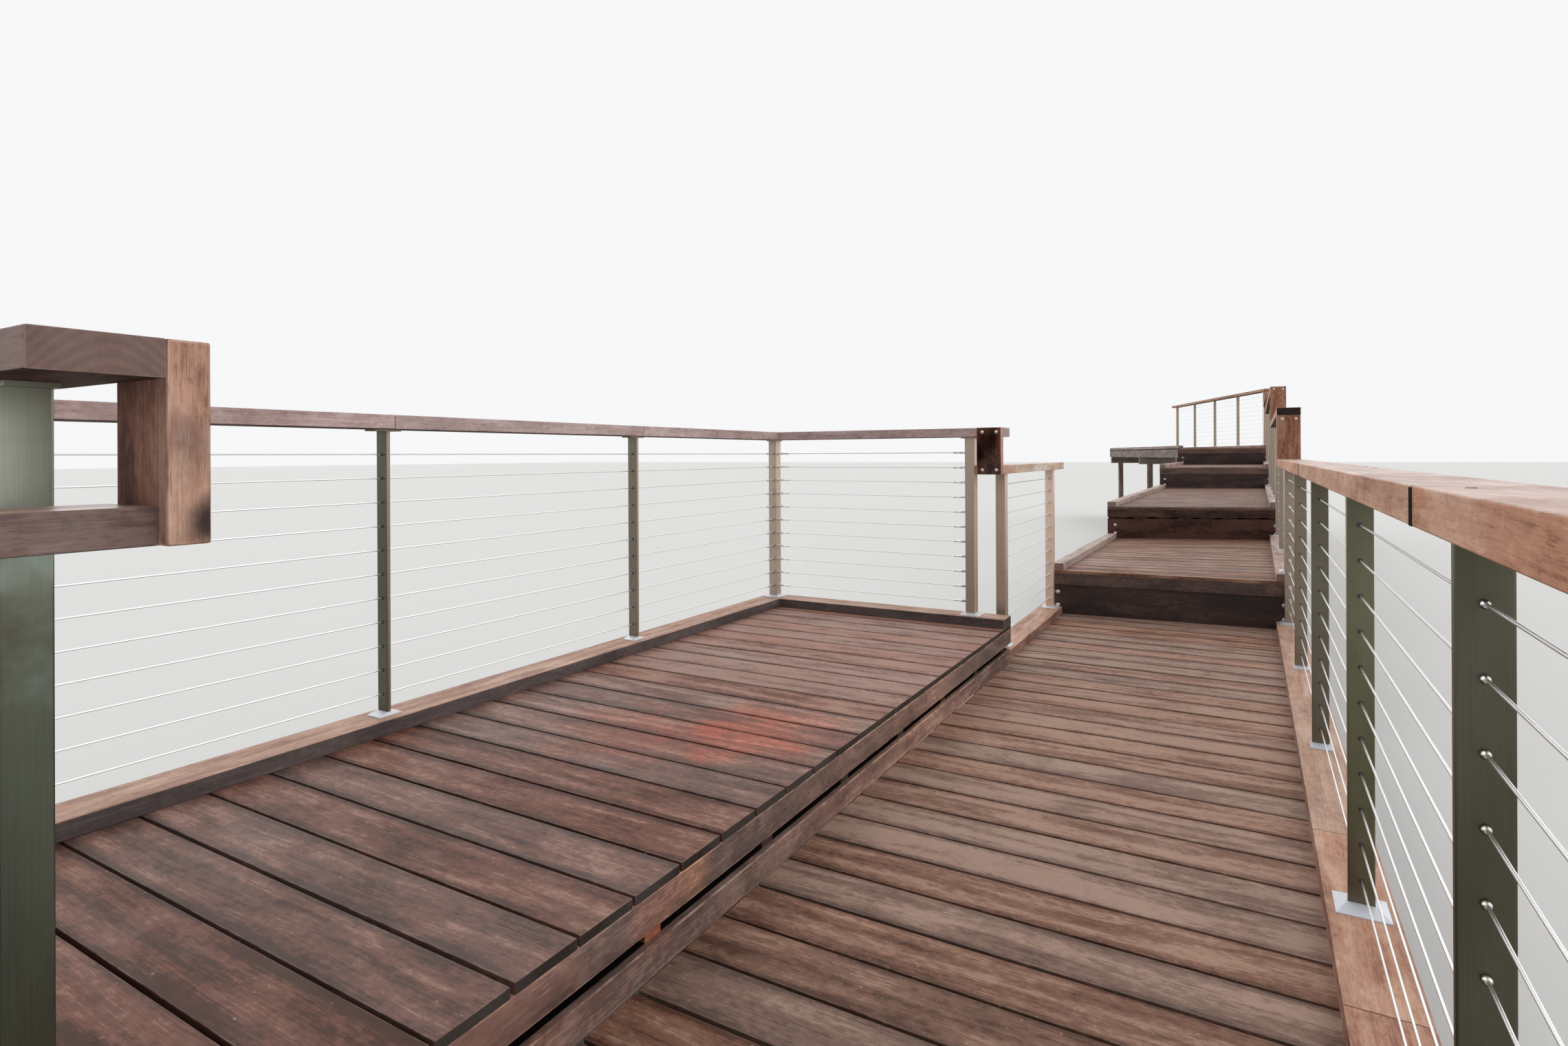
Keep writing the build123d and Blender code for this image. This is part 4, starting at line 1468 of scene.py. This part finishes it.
@dataclass
class SteelSet:
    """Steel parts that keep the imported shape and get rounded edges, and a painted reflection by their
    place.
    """

    name: str
    nodes: tuple[str, ...]
    radius: float = 0.003
    segments: int = 3
    corner_angle: float = 80.0
    corner_long: float = 0.3
    sharp: float = 32.0
    # Painted reflection: posts grow paler from dim_from to bright_from, right_share as much on the right,
    # more by edge_lift on faces that look across the run
    dim_from: float = -4.2
    bright_from: float = -0.2
    right_share: float = 0.30
    lift_power: float = 2.3
    edge_lift: float = 0.4
    edge_lead: float = 0.4

    def tone(self, x: float, y: float) -> float:
        """The painted reflection: how bright the surroundings would make a post.

        Args:
            x: Where the post is across the walkway.
            y: Where it is along the walkway.

        Returns:
            Its tone, from 0 to 1.
        """
        share = (y - self.dim_from) / (self.bright_from - self.dim_from)
        side = self.right_share if x > 0.0 or y > 0.0 else 1.0
        return side * min(1.0, max(0.0, share)) ** self.lift_power

    def build(self, nodes: Packed, finish: Material) -> Piece:
        """Rounds the long edges of each steel part.

        Args:
            nodes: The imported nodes.
            finish: The steel's material.

        Returns:
            The piece, which stands for those nodes.
        """
        heap = Heap()
        for label in self.nodes:
            for solid in CadNode(nodes[label]).solids():
                corners = [edge for edge in solid.edges if self._is_corner(edge)]
                round_edges(solid, corners, self.radius, self.segments, profile=0.5)
                low_x = min(vert.co.x for vert in solid.verts)
                low_y = min(vert.co.y for vert in solid.verts)
                # Painted reflection, set by where the part stands
                tone = self.tone(low_x, low_y)
                lift = self.edge_lift * min(1.0, max(0.0, low_y - self.dim_from + self.edge_lead))
                heap.add_steel(solid, tone, min(1.0, tone + lift))
                solid.free()
        return heap.piece(self.name, finish, sharp=self.sharp)

    def _is_corner(self, edge: bmesh.types.BMEdge) -> bool:
        """Whether an edge is one of the long upright corners of a post.

        Args:
            edge: The edge.

        Returns:
            True for a corner.
        """
        if len(edge.link_faces) != 2 or edge.calc_face_angle(0.0) <= math.radians(self.corner_angle):
            return False
        way = (edge.verts[1].co - edge.verts[0].co).normalized()
        return edge.calc_length() > self.corner_long and abs(way.z) > UPRIGHT


@dataclass(frozen=True)
class TurnedPart:
    """Round hardware, turned from a profile of radius and height."""

    profile: Profile
    sides: int = 16

    def add_to(self, heap: Heap, place: Vector, direction: Vector) -> None:
        """Adds one copy of the part.

        Args:
            heap: Where the mesh goes.
            place: Where the profile's zero height is.
            direction: Which way its height points.
        """
        turn = direction.to_track_quat("Z", "Y").to_matrix().to_4x4()
        matrix = Matrix.Translation(place) @ turn
        first = len(heap.points)
        for radius, height in self.profile:
            for i in range(self.sides):
                angle = 2 * math.pi * i / self.sides
                own = Vector((radius * math.cos(angle), radius * math.sin(angle), height))
                heap.points.append(matrix @ own)
        rings = len(self.profile)
        for ring in range(rings - 1):
            low = first + ring * self.sides
            for i in range(self.sides):
                j = (i + 1) % self.sides
                heap.faces.append((low + i, low + j, low + self.sides + j, low + self.sides + i))
        heap.faces.append(tuple(first + i for i in reversed(range(self.sides))))
        top = first + (rings - 1) * self.sides
        heap.faces.append(tuple(top + i for i in range(self.sides)))


def dome_head(radius: float, tall: float) -> Profile:
    """The profile of a domed bolt head on a thin washer.

    Args:
        radius: The head's radius.
        tall: How far the head stands out.

    Returns:
        The profile, from the washer's foot up.
    """
    washer = radius * 1.18
    washer_foot = -0.0008
    washer_top = tall * 0.14
    head_foot = tall * 0.16
    brim = tall * 0.3
    curve = []
    for i in range(1, 6):
        angle = math.radians(15.0 * i)
        curve.append((radius * math.cos(angle), brim + (tall - brim) * math.sin(angle)))
    return ((washer, washer_foot), (washer, washer_top), (radius, head_foot), (radius, brim), *curve)


@dataclass
class WireHardware:
    """Forked ends with their pins and swages, and the beads and bushes where wires pass posts."""

    wires: tuple[tuple[str, Axis], ...]
    posts: tuple[str, ...]
    bead_post: float = -4.45
    post_reach: float = 0.1
    tab: TurnedPart = TurnedPart(((0.0078, 0.0), (0.0078, 0.0016), (0.0064, 0.0028), (0.0030, 0.0030)), 12)
    shoulder: TurnedPart = TurnedPart(
        ((0.0030, 0.0205), (0.0058, 0.0215), (0.0058, 0.0275), (0.0045, 0.0310)), 12)
    ferrule: TurnedPart = TurnedPart(
        ((0.0045, 0.0580), (0.0052, 0.0590), (0.0052, 0.0636), (0.0042, 0.0646)), 12)
    pin: TurnedPart = TurnedPart(
        ((0.0039, -0.0085), (0.0039, -0.0065), (0.0026, -0.0065), (0.0026, 0.0085)), 10)
    bead: TurnedPart = TurnedPart(
        ((0.0034, 0.0), (0.0050, 0.0010), (0.0054, 0.0030), (0.0050, 0.0056), (0.0028, 0.0075)), 12)
    bush: TurnedPart = TurnedPart(
        ((0.0052, -0.0002), (0.0052, 0.0010), (0.0042, 0.0016), (0.0028, 0.0016)), 10)
    jaw: Size = (0.0022, 0.0095, 0.020)
    jaw_gap: float = 0.0066
    jaw_start: float = 0.003
    pin_place: float = 0.0095
    hole_radius: float = 0.002
    hole_apart: float = 0.02
    rim_edge: float = 0.0035
    end_reach: float = 0.006

    def forks(self, nodes: Packed, finish: Material) -> Piece:
        """Adds a fork, a pin and a swage at both ends of every wire.

        Args:
            nodes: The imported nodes.
            finish: The fittings' material.

        Returns:
            The fittings as one piece.
        """
        heap = Heap()
        for label, axis in self.wires:
            for solid in CadNode(nodes[label]).solids():
                for place, way in self._ends(solid, axis):
                    for part in (self.tab, self.shoulder, self.ferrule):
                        part.add_to(heap, place, way)
                    across = way.cross(UP).normalized()
                    turn = Matrix((across, UP, way)).transposed()
                    middle = place + way * (self.jaw_start + self.jaw[2] / 2)
                    for side in (-1.0, 1.0):
                        offset = across * side * (self.jaw_gap + self.jaw[0]) / 2
                        heap.add_box(middle + offset, self.jaw, turn)
                    self.pin.add_to(heap, place + way * self.pin_place, across)
                solid.free()
        return heap.piece("wire_end_forks", finish, sharp=FITTING_SHARP)

    def beads(self, nodes: Packed, finish: Material) -> Piece:
        """Adds the bright bead on each wire where it meets the first flat post."""
        return self._rings(nodes, "wire_beads", self.bead, finish, at_bead_post=True)

    def bushes(self, nodes: Packed, finish: Material) -> Piece:
        """Adds the dark bush round each wire where it passes through the other flat posts."""
        return self._rings(nodes, "wire_bushes", self.bush, finish, at_bead_post=False)

    def _rings(
        self, nodes: Packed, name: str, part: TurnedPart, finish: Material, at_bead_post: bool
    ) -> Piece:
        """Adds a ring on each wire where it meets some of the flat posts.

        Args:
            nodes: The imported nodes.
            name: The piece's name.
            part: The ring.
            finish: Its material.
            at_bead_post: Whether it goes on the first flat post or on the others.

        Returns:
            The rings as one piece.
        """
        heap = Heap()
        for place, heights in self._crossings(nodes):
            if (abs(place.y - self.bead_post) < self.post_reach) is at_bead_post:
                for height in heights:
                    part.add_to(heap, Vector((place.x, place.y, height)), TOWARD)
        return heap.piece(name, finish, sharp=FITTING_SHARP)

    def _crossings(self, nodes: Packed) -> Iterator[tuple[Vector, list[float]]]:
        """Finds the wire holes of the flat posts.

        Args:
            nodes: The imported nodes.

        Returns:
            The near face of each flat post, with the heights of its holes.
        """
        for label in self.posts:
            for solid in CadNode(nodes[label]).solids():
                holes = [vert.co for vert in solid.verts if self._in_hole(vert)]
                if holes:
                    near = min(co.y for co in holes)
                    middle = sum(co.x for co in holes) / len(holes)
                    heights = sorted(co.z for co in holes)
                    level = [heights[0]]
                    for height in heights:
                        if height - level[-1] > self.hole_apart:
                            level.append(height)
                    yield Vector((middle, near, 0.0)), [height + self.hole_radius for height in level]
                solid.free()

    def _in_hole(self, vert: bmesh.types.BMVert) -> bool:
        """Whether a point is on the rim of a wire hole."""
        return sum(1 for edge in vert.link_edges if edge.calc_length() < self.rim_edge) >= 2

    def _ends(self, solid: Solid, axis: Axis) -> tuple[tuple[Vector, Vector], tuple[Vector, Vector]]:
        """Finds both ends of one wire.

        Args:
            solid: The wire's mesh.
            axis: The axis it runs along.

        Returns:
            The middle of each end face, and the way into the wire.
        """
        index = axis.value
        places = sorted((vert.co for vert in solid.verts), key=lambda co: co[index])
        low = places[0][index] + self.end_reach
        high = places[-1][index] - self.end_reach
        first = mean(co for co in places if co[index] < low)
        last = mean(co for co in places if co[index] > high)
        way = (last - first).normalized()
        return (first, way), (last, -way)


@dataclass
class Fixings:
    """Bolts on the risers and joining boards, plugs in the handrail, and near-black boxes that paint the
    shade in open joints and slots.
    """

    riser_bolt: TurnedPart = TurnedPart(dome_head(0.0115, 0.007), 20)
    board_bolt: TurnedPart = TurnedPart(dome_head(0.0070, 0.0045), 16)
    plug: TurnedPart = TurnedPart(((0.0050, -0.001), (0.0050, 0.0003), (0.0045, 0.0006)), 14)
    first_heights: tuple[float, float] = (0.055, 0.140)
    other_heights: tuple[float, float] = (0.046, 0.120)
    left_insets: tuple[float, ...] = (0.033, 0.060, 0.060, 0.060)
    right_inset: float = 0.093
    board_shares: tuple[float, float] = (0.24, 0.81)
    board_inset: float = 0.022
    board_sink: float = 0.0006
    covered_from: float = -5.0
    plugs: tuple[tuple[float, float], ...] = (
        (0.694, -2.930), (0.708, -3.050), (0.702, -3.270), (0.640, -4.52))
    # Near-black boxes in the handrail's open joints: painted shade
    rail_joints: tuple[float, float] = (-4.450, -2.262)
    joint_shade_height: float = 0.978
    joint_shade: Size = (0.1185, 0.0056, 0.0425)
    joint_shade_side_place: tuple[float, float] = (-0.0600, 0.977)
    joint_shade_side: Size = (0.0012, 0.018, 0.0415)
    # Near-black sheets behind and under the platform front's open slot: painted shade
    slot_shade_boxes: tuple[tuple[Size, Size], ...] = (
        ((-0.6255, -3.3375, 0.4985), (0.001, 3.770, 0.030)),
        ((-0.6110, -3.3375, 0.4843), (0.0290, 3.770, 0.0010)),
    )
    # A near-black strip behind the slot over the second riser's lower board: painted shade
    strip_step: int = 1
    strip_inset: float = 0.01
    strip_height: float = 0.183
    strip_behind: float = 0.0465
    strip_thick: float = 0.002
    strip_tall: float = 0.050

    def riser_bolts(self, finish: Material) -> Piece:
        """Adds two domed bolts at each end of every riser's lower board.

        Args:
            finish: The bolts' material.

        Returns:
            The bolts as one piece.
        """
        heap = Heap()
        for step, left_inset in enumerate(self.left_insets):
            deck = DECK_TOP + STEP_RISE * step
            for height in self.other_heights if step else self.first_heights:
                for x in (STEPS_LEFT + left_inset, STEPS_RIGHT - self.right_inset):
                    self.riser_bolt.add_to(heap, riser_point(step, x, deck + height), riser_normal(step))
        return heap.piece("riser_bolts", finish, sharp=FITTING_SHARP)

    def board_bolts(self, boards: Piece, finish: Material) -> Piece:
        """Adds the bolts on the near faces of the boards that join the handrail levels.

        Args:
            boards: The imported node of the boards.
            finish: The bolts' material.

        Returns:
            The bolts as one piece.
        """
        heap = Heap()
        for solid in CadNode(boards).solids():
            low = Vector(min(vert.co[axis] for vert in solid.verts) for axis in range(3))
            high = Vector(max(vert.co[axis] for vert in solid.verts) for axis in range(3))
            heights = [high.z - self.board_inset]
            if low.x < 0.0:
                heights.append(low.z + self.board_inset)
            if low.y < self.covered_from:
                heights = []
            for share in self.board_shares:
                x = low.x + share * (high.x - low.x)
                for height in heights:
                    self.board_bolt.add_to(heap, Vector((x, low.y + self.board_sink, height)), TOWARD)
            solid.free()
        return heap.piece("joining_board_bolts", finish, sharp=FITTING_SHARP)

    def rail_plugs(self, finish: Material) -> Piece:
        """Adds the dark screw plugs in the top of the walkway's handrail.

        Args:
            finish: The plugs' material.

        Returns:
            The plugs as one piece.
        """
        heap = Heap()
        for x, y in self.plugs:
            self.plug.add_to(heap, Vector((x, y, DECK_TOP + RAIL_HEIGHT)), UP)
        return heap.piece("rail_screw_plugs", finish, sharp=FITTING_SHARP)

    def joint_shade_boxes(self, finish: Material) -> Piece:
        """Adds near-black boxes in the joints of the walkway's handrail: painted shade.

        Args:
            finish: The boxes' material.

        Returns:
            The boxes as one piece.
        """
        heap = Heap()
        side_x, side_z = self.joint_shade_side_place
        for y in self.rail_joints:
            heap.add_box((RAIL_LINE, y, DECK_TOP + self.joint_shade_height), self.joint_shade)
            heap.add_box((RAIL_LINE + side_x, y, DECK_TOP + side_z), self.joint_shade_side)
        return heap.piece("rail_joint_painted_shade", finish, sharp=FITTING_SHARP)

    def slot_shade_sheets(self, finish: Material) -> Piece:
        """Adds near-black sheets behind and under the open slot of the platform's front: painted shade.

        Args:
            finish: The sheets' material.

        Returns:
            The sheets as one piece.
        """
        heap = Heap()
        for place, size in self.slot_shade_boxes:
            heap.add_box(place, size)
        return heap.piece("platform_slot_painted_shade", finish, sharp=FITTING_SHARP)

    def riser_slot_shade(self, finish: Material) -> Piece:
        """Adds the thin near-black strip that backs the slot over the second riser's lower board: painted
        shade.

        Args:
            finish: The strip's material.

        Returns:
            The strip.
        """
        heap = Heap()
        angle = riser_turn(self.strip_step)
        slope = math.hypot(1.0, math.tan(math.radians(angle)))
        left = STEPS_LEFT + self.strip_inset
        right = STEPS_RIGHT - self.strip_inset
        level = DECK_TOP + STEP_RISE * self.strip_step + self.strip_height
        first, last = (riser_point(self.strip_step, x, level, -self.strip_behind) for x in (left, right))
        turn = Matrix.Rotation(math.radians(angle + FLIGHT_TURN), 3, "Z")
        heap.add_box((first + last) / 2, ((right - left) * slope, self.strip_thick, self.strip_tall), turn)
        return heap.piece("riser_slot_painted_shade", finish, sharp=FITTING_SHARP)


@dataclass
class Studio:
    """The pale floor, the soft light and the camera."""

    eye: Size = (0.450, -5.540, 1.4549)
    turn: float = 29.67
    roll: float = -0.274
    focal_pixels: float = 1181.9
    image_wide: int = 2280
    image_tall: int = 1521
    horizon_row: float = 662.5
    sensor_wide: float = 36.0
    clip: tuple[float, float] = (0.02, 400.0)
    lamp_color: Color = (1.0, 0.985, 0.965)
    lamps: tuple[tuple[str, float, float, float, float], ...] = (
        ("sky_key", 0.80, 90.0, 42.0, 176.0),
        ("right_fill", 1.15, 80.0, 62.0, 96.0),
        ("left_fill", 1.15, 80.0, 62.0, -96.0),
    )
    soft_sky: tuple[Color, float] = ((0.96, 0.98, 1.0), 0.34)
    shown_sky: tuple[Color, float] = ((0.93, 0.935, 0.945), 1.0)
    floor_half: float = 150.0
    floor_color: Color = (0.80, 0.80, 0.79)
    floor_rough: float = 0.9

    def build(self) -> None:
        """Sets up the camera, the lamps, the world and the floor."""
        self._camera()
        self._lamps()
        self._sky()
        self._floor()

    def _camera(self) -> None:
        """Places the camera as the fitted one stood."""
        data = bpy.data.cameras.new("camera")
        data.sensor_fit = "HORIZONTAL"
        data.sensor_width = self.sensor_wide
        data.lens = self.sensor_wide * self.focal_pixels / self.image_wide
        data.shift_y = (self.horizon_row - self.image_tall / 2) / self.image_wide
        data.clip_start, data.clip_end = self.clip
        camera = bpy.data.objects.new("camera", data)
        bpy.context.scene.collection.objects.link(camera)
        camera.matrix_world = (
            Matrix.Translation(self.eye)
            @ Matrix.Rotation(math.radians(self.turn), 4, "Z")
            @ Matrix.Rotation(math.radians(90.0), 4, "X")
            @ Matrix.Rotation(math.radians(self.roll), 4, "Z")
        )
        bpy.context.scene.camera = camera

    def _lamps(self) -> None:
        """Hangs a broad soft sky light beyond the stairs and one on each side."""
        for label, strength, angle, tilt, heading in self.lamps:
            lamp = bpy.data.lights.new(label, "SUN")
            lamp.energy = strength
            lamp.angle = math.radians(angle)
            lamp.color = self.lamp_color
            holder = bpy.data.objects.new(label, lamp)
            bpy.context.scene.collection.objects.link(holder)
            holder.rotation_euler = (math.radians(tilt), 0.0, math.radians(heading))

    def _sky(self) -> None:
        """Makes an even sky, pale where it is seen and dimmer as a light."""
        world = bpy.data.worlds.new("studio")
        world.use_nodes = True
        world.node_tree.nodes.clear()
        n = Nodes(world.node_tree)
        rays = n.add("ShaderNodeLightPath").outputs
        seen = n.math("MAXIMUM", rays["Is Camera Ray"], rays["Is Glossy Ray"])
        seen = n.math("MAXIMUM", seen, rays["Is Transmission Ray"])
        blend = n.add("ShaderNodeMixShader")
        n.feed(blend.inputs[0], seen)
        for index, (color, strength) in ((1, self.soft_sky), (2, self.shown_sky)):
            sky = n.fill(n.add("ShaderNodeBackground"), {"Color": color, "Strength": strength})
            n.feed(blend.inputs[index], sky.outputs[0])
        n.fill(n.add("ShaderNodeOutputWorld"), {"Surface": blend.outputs[0]})
        bpy.context.scene.world = world

    def _floor(self) -> None:
        """Lays a wide pale floor under the stumps."""
        half = self.floor_half
        corners = [(-half, -half, 0.0), (half, -half, 0.0), (half, half, 0.0), (-half, half, 0.0)]
        mesh = bpy.data.meshes.new("studio_floor")
        mesh.from_pydata(corners, [], [(0, 1, 2, 3)])
        floor = bpy.data.objects.new("studio_floor", mesh)
        bpy.context.scene.collection.objects.link(floor)
        material, n, shader = new_material("studio_floor")
        n.fill(shader, {"Base Color": self.floor_color, "Roughness": self.floor_rough})
        mesh.materials.append(material)


class DeckStairs:
    """The whole dressed model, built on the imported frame."""

    def __init__(self, frame: dict, finishes: Finishes) -> None:
        """Keeps the frame's nodes and the finishes."""
        self.nodes = frame["nodes"]
        self.finishes = finishes

    def seat(self, piece: Piece, slot: str, *replaced: str) -> None:
        """Rides a piece on the body and reports it.

        Args:
            piece: The piece.
            slot: Not used.
            replaced: The nodes it stands for.
        """
        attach(piece, "root")
        if replaced:
            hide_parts(*replaced)
        LOG.info("%s: %d faces", piece.name, len(piece.data.polygons))

    def decks(self) -> None:
        """Cuts every deck into its boards."""
        f = self.finishes
        steps = (STEPS_TURN, STEPS_TURN)
        # Shifts of tone along Y, here and for the treads below: partly weathering and partly painted light
        # and sheen
        walk_weather_and_light = ((-5.7, -0.18), (-4.4, -0.10), (-3.4, 0.40), (-2.0, 0.46), (0.0, 0.40))
        platform_weather_and_light = ((-5.2, -0.18), (-4.2, -0.12), (-3.4, 0.0), (-2.8, 0.60), (-1.5, 0.75))
        walk_cuts = straight_cuts(WALKWAY_START, RISER_PLACES[0] + PAST_END, BOARD_PITCH, WALKWAY_GAP)
        platform_cuts = straight_cuts(*PLATFORM_ENDS, PLATFORM_PITCH, PLATFORM_GAP)
        first_cuts = turned_cuts(0, 1, (FIRST_RISER_TURN, STEPS_TURN))
        runs = (
            (BoardRun("walkway_boards", "walkway_decking", walk_cuts, seed=11, weather_and_light=walk_weather_and_light), f.deck),
            (BoardRun("platform_boards", "platform_decking", platform_cuts, seed=12, weather_and_light=platform_weather_and_light),
             f.platform),
            (BoardRun("first_tread_boards", "first_tread", first_cuts, seed=13, weather_and_light=((0.0, 0.2),)), f.deck),
            (BoardRun("second_tread_boards", "second_tread", turned_cuts(1, 2, steps), seed=14,
                      weather_and_light=((0.0, -0.15),)), f.deck),
            (BoardRun("third_tread_boards", "third_tread", turned_cuts(2, 3, steps), seed=15), f.deck),
            (BoardRun("upper_boards", "upper_decking", upper_cuts(), seed=16), f.deck),
        )
        for run, finish in runs:
            self.seat(run.build(self.nodes, finish, f.board_end), "deck_timber", run.slab)

    def timbers(self) -> None:
        """Dresses kerbs, rails, risers and frame timbers."""
        f = self.finishes
        # Upright and downward finishes below paint light and shade; the platform rails' paler left tone and
        # the shifts along Y are partly weathering, partly painted light
        sets = (
            (TimberSet("walkway_kerb_timbers", ("walkway_kerbs",), seed=21, spread=0.6),
             f.kerb, f.kerb_face_shaded, "kerb_timber"),
            (TimberSet("platform_kerb_timbers", ("platform_back_kerb", "platform_end_kerbs"), seed=22,
                       spread=0.6),
             f.kerb, f.kerb_side_shaded, "kerb_timber"),
            (TimberSet("step_kerb_timbers", ("step_kerbs",), radius=0.003, seed=23, spread=0.4,
                       weather_and_light=((0.0, 0.3),)),
             f.step_kerb, None, "kerb_timber"),
            (TimberSet("upper_kerb_timbers", ("upper_kerbs",), seed=24, spread=0.6),
             f.step_kerb, None, "kerb_timber"),
            (TimberSet("walkway_rail_timbers", ("walkway_handrails",), seed=31, spread=0.3,
                       weather_and_light=((-4.6, -0.05), (-3.4, 0.25)), painted_shade_under=True),
             f.rail, f.rail_side, "rail_timber"),
            (TimberSet("platform_rail_timbers", ("platform_back_handrail", "platform_end_handrails"), seed=32,
                       spread=0.4, left_tone=0.35, painted_shade_under=True),
             f.weathered_sheen_rail, f.weathered_sheen_rail_side, "rail_timber"),
            (TimberSet("step_rail_timbers", ("step_handrails",), seed=33, spread=0.5, painted_shade_under=True,
                       dark_ends=True),
             f.rail, f.rail_side, "rail_timber"),
            (TimberSet("upper_rail_timber", ("upper_handrail",), seed=34, spread=0.5, painted_shade_under=True),
             f.rail, f.rail_side, "rail_timber"),
            (TimberSet("joining_board_timbers", ("rail_joining_boards",), radius=0.003, segments=3, seed=35,
                       spread=0.3, left_tone=-0.05, side_axes=(Axis.X,), weather_and_light=((-1.0, 0.0), (0.0, 0.40))),
             f.joining, f.joining_side, "rail_timber"),
            (TimberSet("platform_front_timbers", ("platform_lower_board", "platform_fascia"), radius=0.003,
                       seed=41, spread=0.4),
             f.front, None, "riser_timber"),
            (TimberSet("platform_packer_offcuts", ("platform_packers",), radius=0.0008, seed=42,
                       odd_y=-4.248),
             f.riser, f.packer, "riser_timber"),
            (TimberSet("riser_lower_boards", ("step_risers", "step_packers"), radius=0.003, seed=43),
             f.riser, None, "riser_timber"),
            (TimberSet("riser_fascia_boards", ("step_fascias",), radius=0.003, seed=44),
             f.fascia, None, "riser_timber"),
            (TimberSet("joist_timbers", ("walkway_joists", "platform_joists", "step_joists", "upper_joists",
                                         "end_boards", "platform_edge_boards"), radius=0.002, seed=51),
             f.frame, None, "frame_timber"),
            (TimberSet("bearer_timbers", ("bearers",), radius=0.003, seed=52), f.frame, None, "frame_timber"),
            (TimberSet("stump_timbers", ("stumps",), radius=0.003, seed=53), f.frame, None, "frame_timber"),
        )
        for timber_set, finish, side_finish, slot in sets:
            # The rails' undersides take the near-black finish: painted shade
            under = f.rail_underside_shade if timber_set.painted_shade_under else None
            self.seat(timber_set.build(self.nodes, finish, side_finish, under), slot, *timber_set.nodes)

    def steel(self) -> None:
        """Dresses posts, cover plates and wires, and adds the wires' end fittings."""
        f = self.finishes
        # The posts' tone note holds their painted reflection
        posts = SteelSet("steel_posts", ("walkway_posts", "platform_posts", "step_posts", "upper_posts"))
        self.seat(posts.build(self.nodes, f.post), "post_steel", *posts.nodes)
        self.dress("cover_plates", f.plate)
        along = ("walkway_right_wires", "near_left_wires", "far_left_wires", "platform_back_wires")
        across = ("platform_near_wires", "platform_far_wires")
        flight = ("first_step_wires", "second_step_wires", "third_step_wires", "upper_wires")
        wires = tuple((label, Axis.X if label in across else Axis.Y) for label in along + across + flight)
        for label, _ in wires:
            self.dress(label, f.rope)
        hardware = WireHardware(wires, posts.nodes)
        self.seat(hardware.forks(self.nodes, f.fitting), "wire_steel")
        self.seat(hardware.beads(self.nodes, f.fitting), "wire_steel")
        self.seat(hardware.bushes(self.nodes, f.plug), "wire_steel")

    def fixings(self) -> None:
        """Adds bolts, screw plugs and the near-black boxes that paint the shade in open joints and slots."""
        fixings = Fixings()
        f = self.finishes
        self.seat(fixings.riser_bolts(f.bolt), "plate_steel")
        self.seat(fixings.board_bolts(self.nodes["rail_joining_boards"], f.bolt), "plate_steel")
        self.seat(fixings.rail_plugs(f.plug), "plate_steel")
        # Near-black boxes, sheets and strip: painted shade in the open joints and slots
        self.seat(fixings.joint_shade_boxes(f.shade_black), "rail_timber")
        self.seat(fixings.slot_shade_sheets(f.shade_black), "riser_timber")
        self.seat(fixings.riser_slot_shade(f.shade_black), "riser_timber")

    def dress(self, label: str, finish: Material) -> None:
        """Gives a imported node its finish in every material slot.

        Args:
            label: The node's name.
            finish: Its material.
        """
        node = self.nodes[label]
        if not node.material_slots:
            node.data.materials.append(finish)
        for slot in node.material_slots:
            slot.material = finish


def main() -> None:
    """Builds the dressed deck stairs in order."""
    logging.basicConfig(level=logging.INFO, format="%(name)s %(message)s")
    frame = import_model()
    bpy.context.scene.view_settings.view_transform = "Standard"
    Studio().build()
    stairs = DeckStairs(frame, Finishes())
    stairs.decks()
    stairs.timbers()
    stairs.steel()
    stairs.fixings()


if __name__ == "__main__":
    main()
